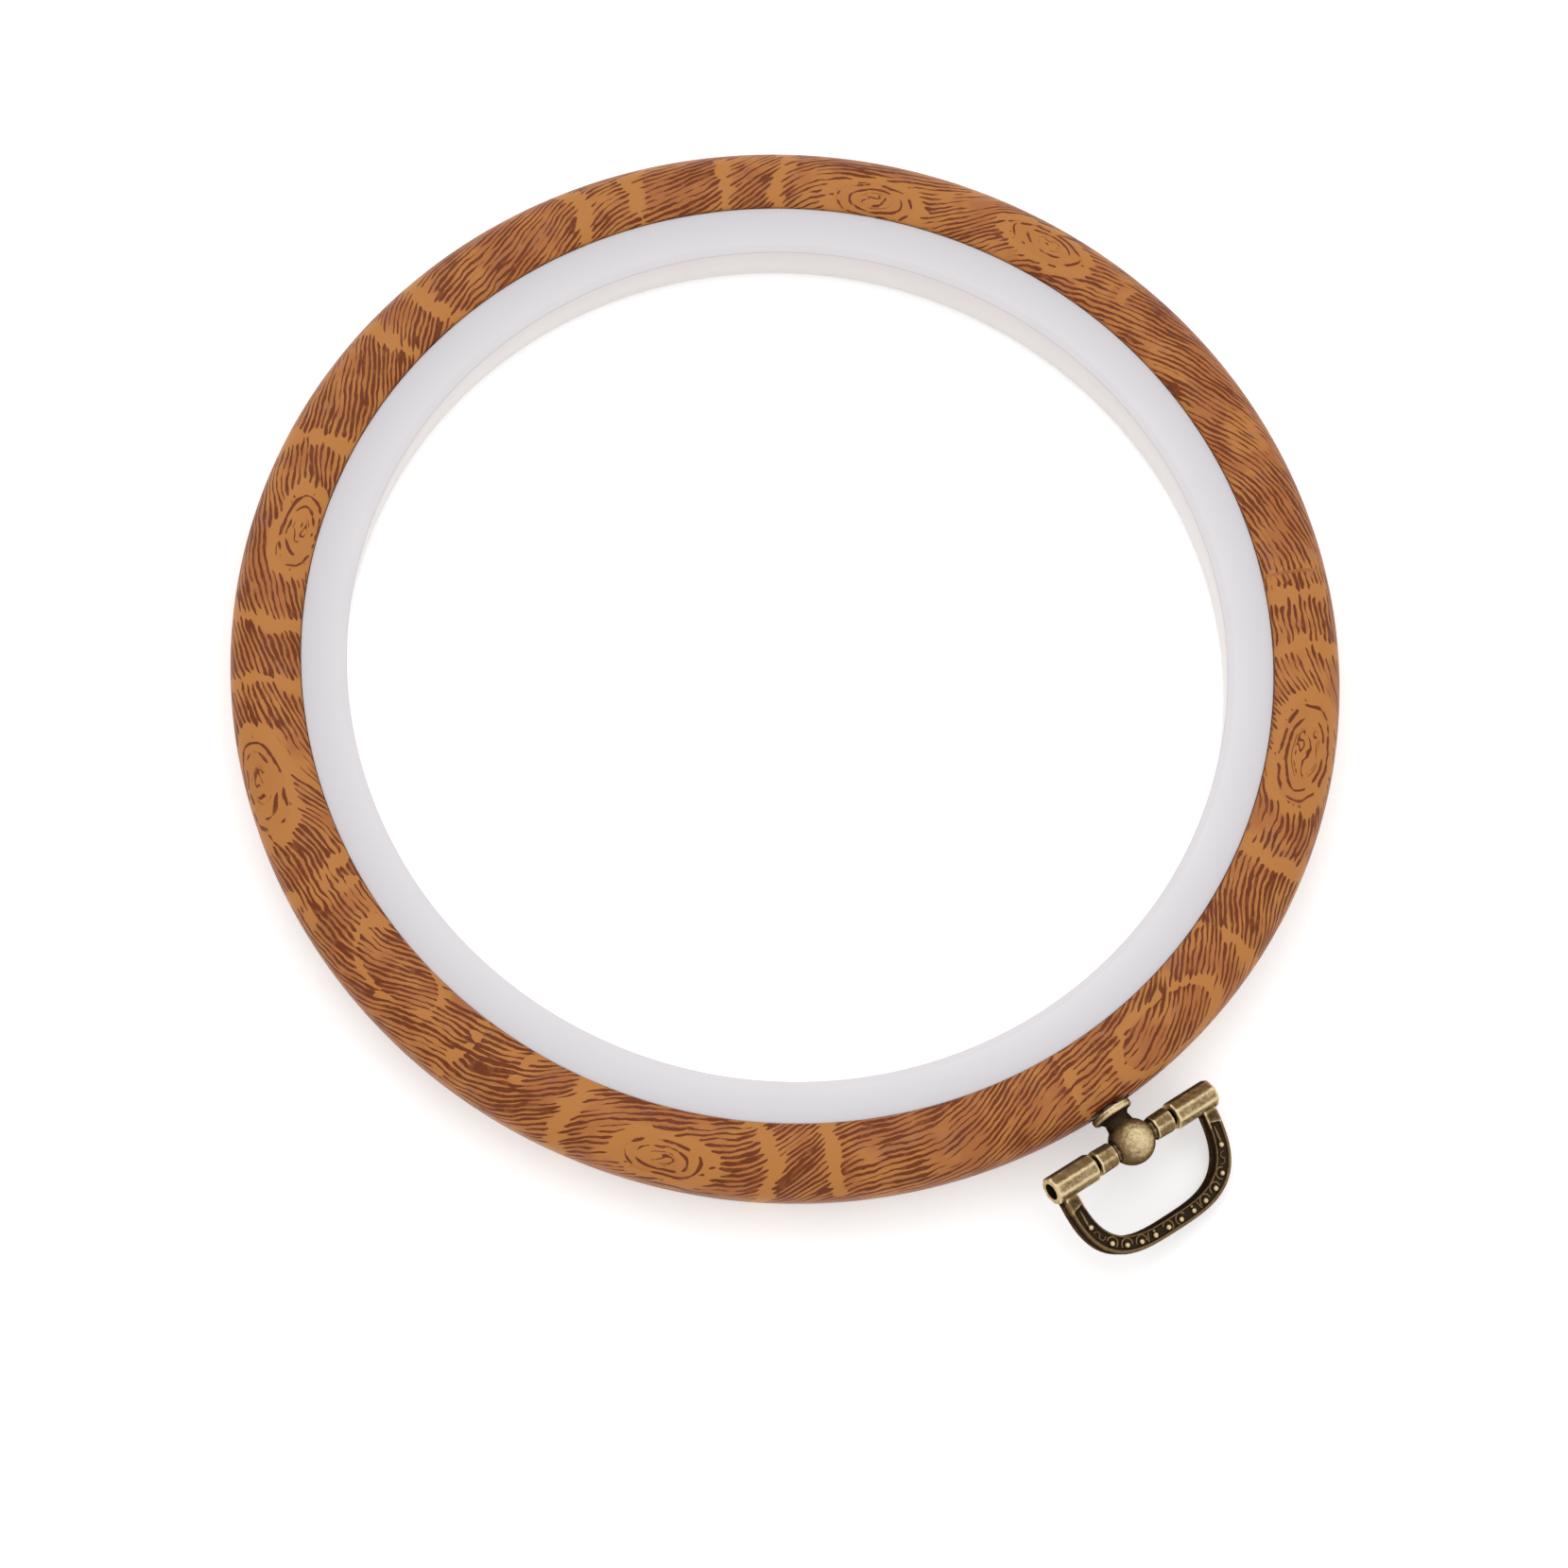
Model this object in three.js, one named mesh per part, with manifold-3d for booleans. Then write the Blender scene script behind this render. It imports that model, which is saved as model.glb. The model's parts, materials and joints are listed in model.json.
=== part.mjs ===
// Embroidery hoop: a flexible outer ring that stretches over a stiff inner ring, with a small
// cast hanger screwed to the outer ring. Millimetres, +Z up. The hoop lies on its back, its
// front faces +Z and the hanger points along +Y.

import * as THREE from 'three';
import { mergeVertices } from 'three/addons/utils/BufferGeometryUtils.js';
import Module from 'manifold-3d';

const wasm = await Module();
wasm.setup();

// Gap that is left between pieces that seat on, pass through or turn in one another.
const CLEARANCE = 0.3;

// Outer ring: a domed vinyl section, widest part way up, flat at the back.
const OUTER_DIAMETER = 130;
const VINYL_WIDTH = 8.3;
const WIDEST_HEIGHT = 6.3;
const CROWN_HEIGHT = 3.75;
const CREST_SETBACK = 3.5;
const LIP_FALL = 0.8;
const BACK_ROUND_WIDTH = 3.2;
const LEDGE_WIDTH = 2.1;
const LEDGE_THICKNESS = 1.4;

// Inner ring: a stiff plastic ring whose front face slopes in towards the opening.
const FACE_WIDTH = 5.2;
const WALL_DRAFT = 0.8;
const FACE_SINK = 0.25;
const FACE_FALL = 1.0;
const EDGE_BEVEL_WIDTH = 0.8;
const EDGE_BEVEL_FALL = 0.5;
const INNER_BACK_HEIGHT = 0.3;

// Hanger post: flange, neck, ball and two side stubs, cast in one.
const SEAT_DEPTH = 0.3;
const FLANGE_DIAMETER = 5.0;
const FLANGE_THICKNESS = 0.9;
const NECK_DIAMETER = 3.2;
const NECK_LENGTH = 0.8;
const BALL_DIAMETER = 5.4;
const STUB_ACROSS = 2.9;
const STUB_LENGTH = 2.7;
const STUB_WAIST = 0.35;

// Hinge pin through the ball, the stubs and the bail's barrels.
const PIN_DIAMETER = 1.3;
const PIN_RECESS = 0.8;

// Bail: a D-shaped loop with an eight-sided barrel at each end.
const BARREL_GAP = 0.5;
const BARREL_LENGTH = 5.9;
const BARREL_ACROSS = 3.2;
const BARREL_BEVEL = 0.25;
const BAIL_INSET = 0.5;
const BAIL_REACH = 11.4;
const BAIL_SQUARENESS = 3.2;
const BAIL_BAND = 1.9;
const BAIL_THICKNESS = 2.0;
const BAIL_BEVEL = 0.2;
const COLLAR_LENGTH = 1.7;
const CHANNEL_DEPTH = 0.35;
const RIM_WIDTH = 0.4;

// Screw and washer that hold the post from inside the outer ring.
const SCREW_DIAMETER = 1.7;
const SCREW_GRIP = 2.6;
const SCREW_HEAD_DIAMETER = 3.6;
const SCREW_HEAD_HEIGHT = 1.2;
const SCREW_SLOT_WIDTH = 0.6;
const SCREW_SLOT_DEPTH = 0.6;
const HEAD_SETBACK = 0.4;
const WASHER_DIAMETER = 4.4;
const WASHER_THICKNESS = 0.4;

// Rest pose of the hanger: the post is turned a little on its screw, and the bail hangs down
// until it is this far above the surface that the hoop lies on.
const SWIVEL_DEGREES = 12;
const BAIL_FLOOR_GAP = 0.3;

// Fineness of the round shapes.
const RING_SEGMENTS = 96;
const ARC_STEPS = 8;
const ROUND_SEGMENTS = 24;
const BAIL_STEPS = 36;

// Places that follow from the sizes above.
const outerRadius = OUTER_DIAMETER / 2;
const lipRadius = outerRadius - VINYL_WIDTH;
const crestRadius = lipRadius + CREST_SETBACK;
const crestHeight = WIDEST_HEIGHT + CROWN_HEIGHT;
const lipHeight = crestHeight - LIP_FALL;
const innerOuterRadius = lipRadius - CLEARANCE;
const openingRadius = lipRadius - FACE_WIDTH;

const seatRadius = outerRadius - SEAT_DEPTH;
const flangeRadialPlace = seatRadius + CLEARANCE;
const ballRadialPlace = flangeRadialPlace + FLANGE_THICKNESS + NECK_LENGTH + BALL_DIAMETER / 2;
const stubEnd = BALL_DIAMETER / 2 + STUB_LENGTH;
const barrelStart = stubEnd + BARREL_GAP;
const barrelEnd = barrelStart + BARREL_LENGTH;
const pinHalfLength = barrelEnd - PIN_RECESS;
const pinBoreRadius = PIN_DIAMETER / 2 + CLEARANCE;
const bailHalfWidth = barrelEnd - BAIL_INSET;

const screwHoleRadius = SCREW_DIAMETER / 2 + CLEARANCE;
const headInnerPlace = lipRadius + HEAD_SETBACK;
const headOuterPlace = headInnerPlace + SCREW_HEAD_HEIGHT;
const washerPlace = headOuterPlace + CLEARANCE;
const recessEnd = washerPlace + WASHER_THICKNESS + CLEARANCE;
const recessRadius = WASHER_DIAMETER / 2 + CLEARANCE;
const screwTip = flangeRadialPlace + SCREW_GRIP;
const swivel = THREE.MathUtils.degToRad(-SWIVEL_DEGREES);

// Colours and finishes.
const vinyl = new THREE.MeshStandardMaterial({ color: 0xb0702f, roughness: 0.5, metalness: 0 });
const plastic = new THREE.MeshStandardMaterial({ color: 0xe9e5e8, roughness: 0.35, metalness: 0 });
const brass = { color: 0x8a7444, roughness: 0.4, metalness: 0.9 };
const steel = { color: 0xa9a7a2, roughness: 0.35, metalness: 1 };

// Turns a geometry into a solid: shared vertices merged, empty triangles dropped, faces outwards.
function solidFrom(geometry) {
  const plain = geometry.clone();
  plain.deleteAttribute('normal');
  plain.deleteAttribute('uv');
  const merged = mergeVertices(plain, 1e-4);
  const index = merged.index.array;
  const position = merged.attributes.position;
  const corners = [0, 1, 2].map(() => new THREE.Vector3());
  const triangles = [];
  let volume = 0;
  for (let i = 0; i < index.length; i += 3) {
    const [a, b, c] = [index[i], index[i + 1], index[i + 2]];
    if (a === b || b === c || c === a) continue;
    triangles.push(a, b, c);
    corners[0].fromBufferAttribute(position, a);
    corners[1].fromBufferAttribute(position, b);
    corners[2].fromBufferAttribute(position, c);
    volume += corners[0].dot(corners[1].cross(corners[2]));
  }
  if (volume < 0) triangles.reverse();
  return new wasm.Manifold(new wasm.Mesh({
    numProp: 3,
    vertProperties: new Float32Array(position.array),
    triVerts: new Uint32Array(triangles),
  }));
}

// A named mesh of a solid.
function meshFrom(solid, name, material) {
  const { vertProperties, triVerts } = solid.getMesh();
  const geometry = new THREE.BufferGeometry();
  geometry.setAttribute('position', new THREE.BufferAttribute(new Float32Array(vertProperties), 3));
  geometry.setIndex(new THREE.BufferAttribute(new Uint32Array(triVerts), 1));
  geometry.computeVertexNormals();
  const mesh = new THREE.Mesh(geometry, material);
  mesh.name = name;
  return mesh;
}

// Points of a quarter ellipse, from one angle to the other, in degrees.
function ellipseArc(centreR, centreZ, halfR, halfZ, from, to) {
  const points = [];
  for (let i = 0; i <= ARC_STEPS; i += 1) {
    const angle = THREE.MathUtils.degToRad(from + (to - from) * i / ARC_STEPS);
    points.push([centreR + halfR * Math.cos(angle), centreZ + halfZ * Math.sin(angle)]);
  }
  return points;
}

// A profile of [radius, height] points turned about the Z axis.
function turned(profile, segments) {
  const points = profile.map(([radius, height]) => new THREE.Vector2(radius, height));
  points.push(points[0].clone());
  return new THREE.LatheGeometry(points, segments).rotateX(Math.PI / 2);
}

// A profile of [radius, place] points turned about the Y axis, for pieces along the screw.
function turnedAlongY(profile, segments) {
  const points = profile.map(([radius, place]) => new THREE.Vector2(radius, place));
  return new THREE.LatheGeometry(points, segments);
}

// A plain cylinder along Y, between two places on it.
function cylinderAlongY(radius, from, to) {
  return turnedAlongY([[0, from], [radius, from], [radius, to], [0, to]], ROUND_SEGMENTS);
}

// A cylinder along X, the pin's axis, centred on the ball.
function cylinderAlongX(radius, halfLength) {
  return new THREE.CylinderGeometry(radius, radius, 2 * halfLength, ROUND_SEGMENTS)
    .rotateZ(Math.PI / 2);
}

// An eight-sided bar along X with bevelled ends, one flat facing the front.
function octagonBar(across, from, to, bevel) {
  const flatsToCorners = 1 / Math.cos(Math.PI / 8);
  const radius = across / 2 * flatsToCorners;
  const profile = [[0, from], [radius - bevel, from], [radius, from + bevel],
    [radius, to - bevel], [radius - bevel, to], [0, to]];
  return turnedAlongY(profile, 8).rotateY(Math.PI / 8).rotateZ(-Math.PI / 2);
}

// The outer ring's section, with the ledge that the inner ring seats on.
function outerRingSolid() {
  const front = ellipseArc(crestRadius, WIDEST_HEIGHT, outerRadius - crestRadius, CROWN_HEIGHT, 0, 90);
  const lip = ellipseArc(crestRadius, lipHeight, crestRadius - lipRadius, LIP_FALL, 90, 180);
  const back = ellipseArc(outerRadius - BACK_ROUND_WIDTH, WIDEST_HEIGHT,
    BACK_ROUND_WIDTH, WIDEST_HEIGHT, 270, 360);
  const ledge = [[lipRadius, LEDGE_THICKNESS], [lipRadius - LEDGE_WIDTH, LEDGE_THICKNESS],
    [lipRadius - LEDGE_WIDTH, 0]];
  const profile = [...front, ...lip.slice(1), ...ledge, ...back.slice(0, -1)];
  const ring = solidFrom(turned(profile, RING_SEGMENTS));
  const seatWidth = FLANGE_DIAMETER / 2 + CLEARANCE;
  const cuts = [
    cylinderAlongY(recessRadius, lipRadius - LEDGE_WIDTH, recessEnd),
    cylinderAlongY(screwHoleRadius, lipRadius, outerRadius + SEAT_DEPTH),
    cylinderAlongY(seatWidth, seatRadius, outerRadius + SEAT_DEPTH),
  ];
  return cuts.reduce(
    (solid, cut) => solid.subtract(solidFrom(cut.translate(0, 0, WIDEST_HEIGHT))),
    ring,
  );
}

// The inner ring's section: sloping face, bevelled inner edge, drafted wall, stepped back.
function innerRingSolid() {
  const faceHeight = lipHeight - FACE_SINK;
  const bevelTop = faceHeight - FACE_FALL;
  const stepRadius = lipRadius - LEDGE_WIDTH - CLEARANCE;
  const stepHeight = LEDGE_THICKNESS + CLEARANCE;
  const profile = [
    [innerOuterRadius, faceHeight],
    [openingRadius + EDGE_BEVEL_WIDTH, bevelTop],
    [openingRadius, bevelTop - EDGE_BEVEL_FALL],
    [openingRadius + WALL_DRAFT, INNER_BACK_HEIGHT],
    [stepRadius, INNER_BACK_HEIGHT],
    [stepRadius, stepHeight],
    [innerOuterRadius, stepHeight],
  ];
  return solidFrom(turned(profile, RING_SEGMENTS));
}

// Flange, neck and ball turned about the screw's axis, stubs along the pin's, both bored.
function hangerPostSolid() {
  const flangeInner = flangeRadialPlace - ballRadialPlace;
  const flangeOuter = flangeInner + FLANGE_THICKNESS;
  const ballRadius = BALL_DIAMETER / 2;
  const neckAngle = Math.asin(NECK_DIAMETER / BALL_DIAMETER);
  const turnedProfile = [[0, flangeInner], [FLANGE_DIAMETER / 2, flangeInner],
    [FLANGE_DIAMETER / 2, flangeOuter], [NECK_DIAMETER / 2, flangeOuter]];
  for (let i = 0; i <= 2 * ARC_STEPS; i += 1) {
    const angle = neckAngle + (Math.PI - neckAngle) * i / (2 * ARC_STEPS);
    turnedProfile.push([ballRadius * Math.sin(angle), -ballRadius * Math.cos(angle)]);
  }
  turnedProfile[turnedProfile.length - 1][0] = 0;
  let post = solidFrom(turnedAlongY(turnedProfile, ROUND_SEGMENTS));
  const stubRoot = STUB_ACROSS / 2 - STUB_WAIST;
  const waist = cylinderAlongX(stubRoot, stubEnd - STUB_LENGTH / 2);
  post = post.add(solidFrom(waist));
  for (const turn of [0, Math.PI]) {
    const bar = octagonBar(STUB_ACROSS, stubEnd - STUB_LENGTH + STUB_WAIST, stubEnd, BARREL_BEVEL);
    post = post.add(solidFrom(bar.rotateY(turn)));
  }
  const screwTipInside = screwTip + CLEARANCE - ballRadialPlace;
  const screwBore = cylinderAlongY(screwHoleRadius, flangeInner - SEAT_DEPTH, screwTipInside);
  const pinBore = cylinderAlongX(pinBoreRadius, stubEnd + BARREL_GAP);
  return post.subtract(solidFrom(screwBore)).subtract(solidFrom(pinBore));
}

// Half of a superellipse in the bail's plane, from the +X end round to the -X end.
function archPoints(halfWidth, reach) {
  const points = [];
  const power = 2 / BAIL_SQUARENESS;
  for (let i = 0; i <= BAIL_STEPS; i += 1) {
    const angle = Math.PI * i / BAIL_STEPS;
    const x = Math.sign(Math.cos(angle)) * Math.abs(Math.cos(angle)) ** power;
    const y = Math.sin(angle) ** power;
    points.push(new THREE.Vector2(halfWidth * x, i % BAIL_STEPS === 0 ? 0 : reach * y));
  }
  return points;
}

// A flat arch between two such outlines, cut off at a distance from the pin's axis.
function archShape(outerInset, innerInset) {
  const outer = archPoints(bailHalfWidth - outerInset, BAIL_REACH - outerInset);
  const inner = archPoints(bailHalfWidth - innerInset, BAIL_REACH - innerInset);
  return new THREE.Shape([...outer, ...inner.reverse()]);
}

// The bail in its own plane: pin axis along X, the loop towards +Y, its front towards +Z.
function bailSolid() {
  const body = new THREE.ExtrudeGeometry(archShape(BAIL_BEVEL, BAIL_BAND - BAIL_BEVEL), {
    depth: BAIL_THICKNESS - 2 * BAIL_BEVEL,
    bevelEnabled: true,
    bevelThickness: BAIL_BEVEL,
    bevelSize: BAIL_BEVEL,
    bevelSegments: 1,
  }).translate(0, 0, BAIL_BEVEL - BAIL_THICKNESS / 2);
  const channel = new THREE.ExtrudeGeometry(archShape(RIM_WIDTH, BAIL_BAND - RIM_WIDTH), {
    depth: CHANNEL_DEPTH + BAIL_BEVEL,
    bevelEnabled: false,
  }).translate(0, 0, BAIL_THICKNESS / 2 - CHANNEL_DEPTH);
  const channelTop = BARREL_ACROSS / 2 + COLLAR_LENGTH;
  const keep = new THREE.BoxGeometry(4 * bailHalfWidth, 2 * channelTop, 2 * BAIL_THICKNESS);
  const groove = solidFrom(channel).subtract(solidFrom(keep));
  let bail = solidFrom(body).subtract(groove);
  for (const turn of [0, Math.PI]) {
    const barrel = octagonBar(BARREL_ACROSS, barrelStart, barrelEnd, BARREL_BEVEL).rotateY(turn);
    bail = bail.add(solidFrom(barrel));
  }
  return bail.subtract(solidFrom(cylinderAlongX(pinBoreRadius, barrelEnd + BARREL_GAP)));
}

// Screw along Y: slotted pan head towards the hoop's centre, shank out into the post.
function screwSolid() {
  const headRadius = SCREW_HEAD_DIAMETER / 2;
  const headEdge = headInnerPlace + SCREW_HEAD_HEIGHT / 3;
  const profile = [[0, headInnerPlace], [headRadius * 0.8, headInnerPlace], [headRadius, headEdge],
    [headRadius, headOuterPlace], [SCREW_DIAMETER / 2, headOuterPlace],
    [SCREW_DIAMETER / 2, screwTip], [0, screwTip]];
  const slot = new THREE.BoxGeometry(2 * SCREW_HEAD_DIAMETER, 2 * SCREW_SLOT_DEPTH, SCREW_SLOT_WIDTH)
    .translate(0, headInnerPlace, 0);
  return solidFrom(turnedAlongY(profile, ROUND_SEGMENTS)).subtract(solidFrom(slot));
}

// Flat washer between the screw's head and the outer ring.
function washerSolid() {
  const outer = cylinderAlongY(WASHER_DIAMETER / 2, washerPlace, washerPlace + WASHER_THICKNESS);
  const bore = cylinderAlongY(screwHoleRadius, washerPlace - CLEARANCE, recessEnd);
  return solidFrom(outer).subtract(solidFrom(bore));
}

// How far down the tilted bail reaches below the pin's axis, for a droop in radians.
function bailDepth(droop) {
  const dual = BAIL_SQUARENESS / (BAIL_SQUARENESS - 1);
  const sideways = bailHalfWidth * Math.abs(Math.sin(swivel));
  const outward = BAIL_REACH * Math.sin(droop) * Math.cos(swivel);
  const thickness = BAIL_THICKNESS / 2 * Math.cos(droop) * Math.cos(swivel);
  return (sideways ** dual + outward ** dual) ** (1 / dual) + thickness;
}

// The droop at which the bail hangs just clear of the surface, found by halving.
function restDroop() {
  let low = 0;
  let high = Math.PI / 2;
  for (let i = 0; i < 40; i += 1) {
    const middle = (low + high) / 2;
    if (bailDepth(middle) < WIDEST_HEIGHT - BAIL_FLOOR_GAP) low = middle;
    else high = middle;
  }
  return low;
}

// The whole hoop, built about the ring's centre with its back at zero height.
const hoop = new THREE.Group();
hoop.add(meshFrom(outerRingSolid(), 'outer_ring', vinyl));
hoop.add(meshFrom(innerRingSolid(), 'inner_ring', plastic));

const hanger = new THREE.Group();
hanger.position.set(0, ballRadialPlace, WIDEST_HEIGHT);
hanger.rotation.y = swivel;
hanger.add(meshFrom(hangerPostSolid(), 'hanger_post', new THREE.MeshStandardMaterial(brass)));
const pin = meshFrom(solidFrom(cylinderAlongX(PIN_DIAMETER / 2, pinHalfLength)), 'hinge_pin',
  new THREE.MeshStandardMaterial(steel));
hanger.add(pin);
const screw = meshFrom(screwSolid(), 'hanger_screw', new THREE.MeshStandardMaterial(steel));
const washer = meshFrom(washerSolid(), 'screw_washer', new THREE.MeshStandardMaterial(steel));
screw.position.y = -ballRadialPlace;
washer.position.y = -ballRadialPlace;
hanger.add(screw, washer);
const bail = meshFrom(bailSolid(), 'bail', new THREE.MeshStandardMaterial(brass));
bail.rotation.x = -restDroop();
hanger.add(bail);
hoop.add(hanger);

// The origin is the middle of the hoop's footprint, at the height of its back.
const box = new THREE.Box3().setFromObject(hoop, true);
hoop.position.set(0, -(box.min.y + box.max.y) / 2, -box.min.z);

export default hoop;
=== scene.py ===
"""Embroidery hoop: the visual model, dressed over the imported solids.

Laid out as an add-on with an operator for each piece, and run as a script. Every piece is made
in metres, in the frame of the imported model, where the hoop lies on its back and faces +Z.
"""

import json
import math

import bmesh
import bpy
import numpy as np
from bpy.props import FloatProperty, FloatVectorProperty, IntProperty, PointerProperty
from mathutils import Matrix, Vector


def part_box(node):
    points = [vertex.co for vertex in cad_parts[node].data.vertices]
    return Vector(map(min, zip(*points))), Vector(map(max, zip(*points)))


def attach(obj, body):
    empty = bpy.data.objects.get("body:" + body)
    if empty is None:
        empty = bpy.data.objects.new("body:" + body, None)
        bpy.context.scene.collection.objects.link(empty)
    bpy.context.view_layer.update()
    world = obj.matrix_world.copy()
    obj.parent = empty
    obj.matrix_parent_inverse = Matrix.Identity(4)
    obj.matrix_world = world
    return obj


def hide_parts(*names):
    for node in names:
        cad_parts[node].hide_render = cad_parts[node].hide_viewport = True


bl_info = {
    "name": "Embroidery Hoop",
    "version": (1, 0, 0),
    "blender": (4, 5, 0),
    "location": "3D View > Sidebar > Hoop",
    "description": "Makes an embroidery hoop with a wood-grain outer ring and a cast hanger",
    "category": "Object",
}

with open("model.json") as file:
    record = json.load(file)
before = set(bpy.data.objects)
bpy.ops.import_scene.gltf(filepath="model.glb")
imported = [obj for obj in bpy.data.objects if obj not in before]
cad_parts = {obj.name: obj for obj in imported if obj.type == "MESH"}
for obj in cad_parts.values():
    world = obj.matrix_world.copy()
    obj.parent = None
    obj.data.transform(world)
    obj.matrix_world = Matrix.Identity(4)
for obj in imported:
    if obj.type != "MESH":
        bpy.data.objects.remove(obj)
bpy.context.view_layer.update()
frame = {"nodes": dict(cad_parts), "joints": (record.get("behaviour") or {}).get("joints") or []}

MM = 0.001

# Directions of the hoop: to the right, towards the hanger, and out of its front.
ACROSS = Vector((1, 0, 0))
ALONG = Vector((0, 1, 0))
FRONT = Vector((0, 0, 1))

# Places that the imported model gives: the ring's centre, and the hinge that the bail swings on.
RING_LOW, RING_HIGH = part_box("outer_ring")
RING_RADIUS = (RING_HIGH.x - RING_LOW.x) / 2
RING_CENTRE = Vector(((RING_LOW.x + RING_HIGH.x) / 2, RING_LOW.y + RING_RADIUS, 0))
INNER_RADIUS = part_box("inner_ring")[1].x
HINGE = next(joint for joint in frame["joints"] if joint["name"] == "bail_swing")
PIN_CENTRE = Vector(HINGE["pos_m"])
PIN_AXIS = Vector(HINGE["axis"]).normalized()

# Knots of the printed grain: angle round the ring in degrees, then in millimetres how far outward
# of the crest, half the length of the clear ring, and from where to where the clear arcs show.
KNOTS = (
    (134.6, 0.9, 6.5, 0, 22), (99.5, 2.0, 6.2, 5.2, 14), (226.1, -1.8, 5.3, 0, 20),
    (271.0, 0.5, 4.3, 7, 20), (313.4, -1.4, 5.2, 0, 15), (42.9, 2.6, 5.0, 0, 20),
    (205.5, 0.8, 4.9, 0, 12), (8.0, -0.6, 5.5, 5, 13), (343.0, 3.2, 6.0, 0, 14),
    (22.0, 15.5, 5.5, 0, 12), (64.0, 16.0, 4.5, 5, 11), (118.0, 15.0, 5.5, 4, 12),
    (158.0, 15.5, 6.0, 0, 18), (192.0, 16.0, 4.5, 5, 10), (246.0, 15.0, 6.0, 0, 18),
    (288.0, 15.5, 5.0, 5, 11), (328.0, 15.5, 5.5, 0, 12),
)


def srgb(red, green, blue):
    """Turns a screen colour of 0 to 255 into the linear values that Blender keeps."""
    shares = [value / 255 for value in (red, green, blue)]
    return tuple(s / 12.92 if s <= 0.04045 else ((s + 0.055) / 1.055) ** 2.4 for s in shares)


def length(name, description, millimetres):
    """A property that holds a length in metres."""
    return FloatProperty(
        name=name, description=description, default=millimetres * MM, min=0, precision=5,
        unit="LENGTH",
    )


def colour(name, description, red, green, blue):
    """A property that holds a colour."""
    return FloatVectorProperty(
        name=name, description=description, default=srgb(red, green, blue), min=0, max=1,
        subtype="COLOR",
    )


def angle(name, description, degrees):
    """A property that holds an angle."""
    return FloatProperty(
        name=name, description=description, default=math.radians(degrees), subtype="ANGLE",
    )


def amount(name, description, value):
    """A property that holds a plain number."""
    return FloatProperty(name=name, description=description, default=value, min=0)


class OuterRingSettings(bpy.types.PropertyGroup):
    """Section of the vinyl ring, and the wood grain that is printed on it."""

    crown_width: length("Crown Width", "From the crest out to the widest plane", 4.8)
    crown_height: length("Crown Height", "From the widest plane up to the crest", 3.75)
    widest_height: length("Widest Height", "Height of the widest plane above the back", 6.3)
    lip_width: length("Lip Width", "From the crest in to the lip", 3.4)
    lip_fall: length("Lip Fall", "How far the lip lies below the crest", 0.8)
    back_round: length("Back Round", "Width of the rounding from the widest plane to the back", 3.2)
    ledge_width: length("Ledge Width", "Ledge that the inner ring seats on", 2.1)
    ledge_thickness: length("Ledge Thickness", "Thickness of that ledge", 1.4)
    segments: IntProperty(
        name="Segments", description="Steps round the ring", default=900, min=48, max=1200,
    )
    lane_pitch: amount("Line Pitch", "Distance between the printed lines, in mm", 0.68)
    growth_pitch: amount("Growth Pitch", "Distance between the clear arcs, in mm", 6.0)
    knot_ring: amount("Knot Ring", "Half length of the largest clear ring, in mm", 6.5)
    lean: amount("Lean", "How far the lines cross the band for each mm along it", 0.4)
    seam: angle("Seam", "Where the ends of the printed film meet", 156.4)
    ochre: colour("Ochre", "Ground of the print", 189, 125, 65)
    tan: colour("Tan", "Browner ground between the lines", 172, 106, 58)
    ink: colour("Ink", "Printed lines", 112, 53, 22)
    thin_ink: colour("Thin Ink", "Where the lines are printed thinly", 138, 78, 42)
    # Mauve patches, partly a tint of the print and partly painted sheen.
    wash_and_sheen: colour("Wash and Sheen", "Mauve clouds in the print", 162, 108, 82)


class InnerRingSettings(bpy.types.PropertyGroup):
    """Section of the white ring that the fabric is stretched over."""

    gap: length("Gap", "Clearance to the outer ring's ledge", 0.3)
    fit: length("Fit", "Clearance to the outer ring's bore, which the soft vinyl closes", 0.06)
    face_width: length("Face Width", "From the packed ring's outside in to the opening", 4.9)
    face_sink: length("Face Sink", "How far the face lies below the lip", 0.25)
    face_fall: length("Face Fall", "How far the face slopes down to its inner edge", 1.0)
    bevel_width: length("Bevel Width", "Width of the bevel round the opening", 0.8)
    bevel_fall: length("Bevel Fall", "Height of the bevel round the opening", 0.5)
    draft: length("Draft", "How much wider the opening is at the back", 0.8)
    back_height: length("Back Height", "Height of the wall's back edge", 0.3)
    corner: length("Corner", "Rounding of the moulded corners", 0.16)
    # Painted shade: the face darkens where it meets the vinyl.
    lip_shade: colour("Lip Shade", "Colour of the face beside the vinyl", 209, 206, 210)
    white: colour("White", "Colour of the bevel round the opening", 230, 226, 229)
    # Painted shade at the top of the wall, under the bevel.
    wall_top_shade: colour("Wall Top Shade", "Colour of the top of the wall", 233, 225, 223)
    # Painted light on the wall's thin back edge.
    rim_light: colour("Rim Light", "Colour of the wall's thin back edge", 252, 246, 243)


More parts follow.
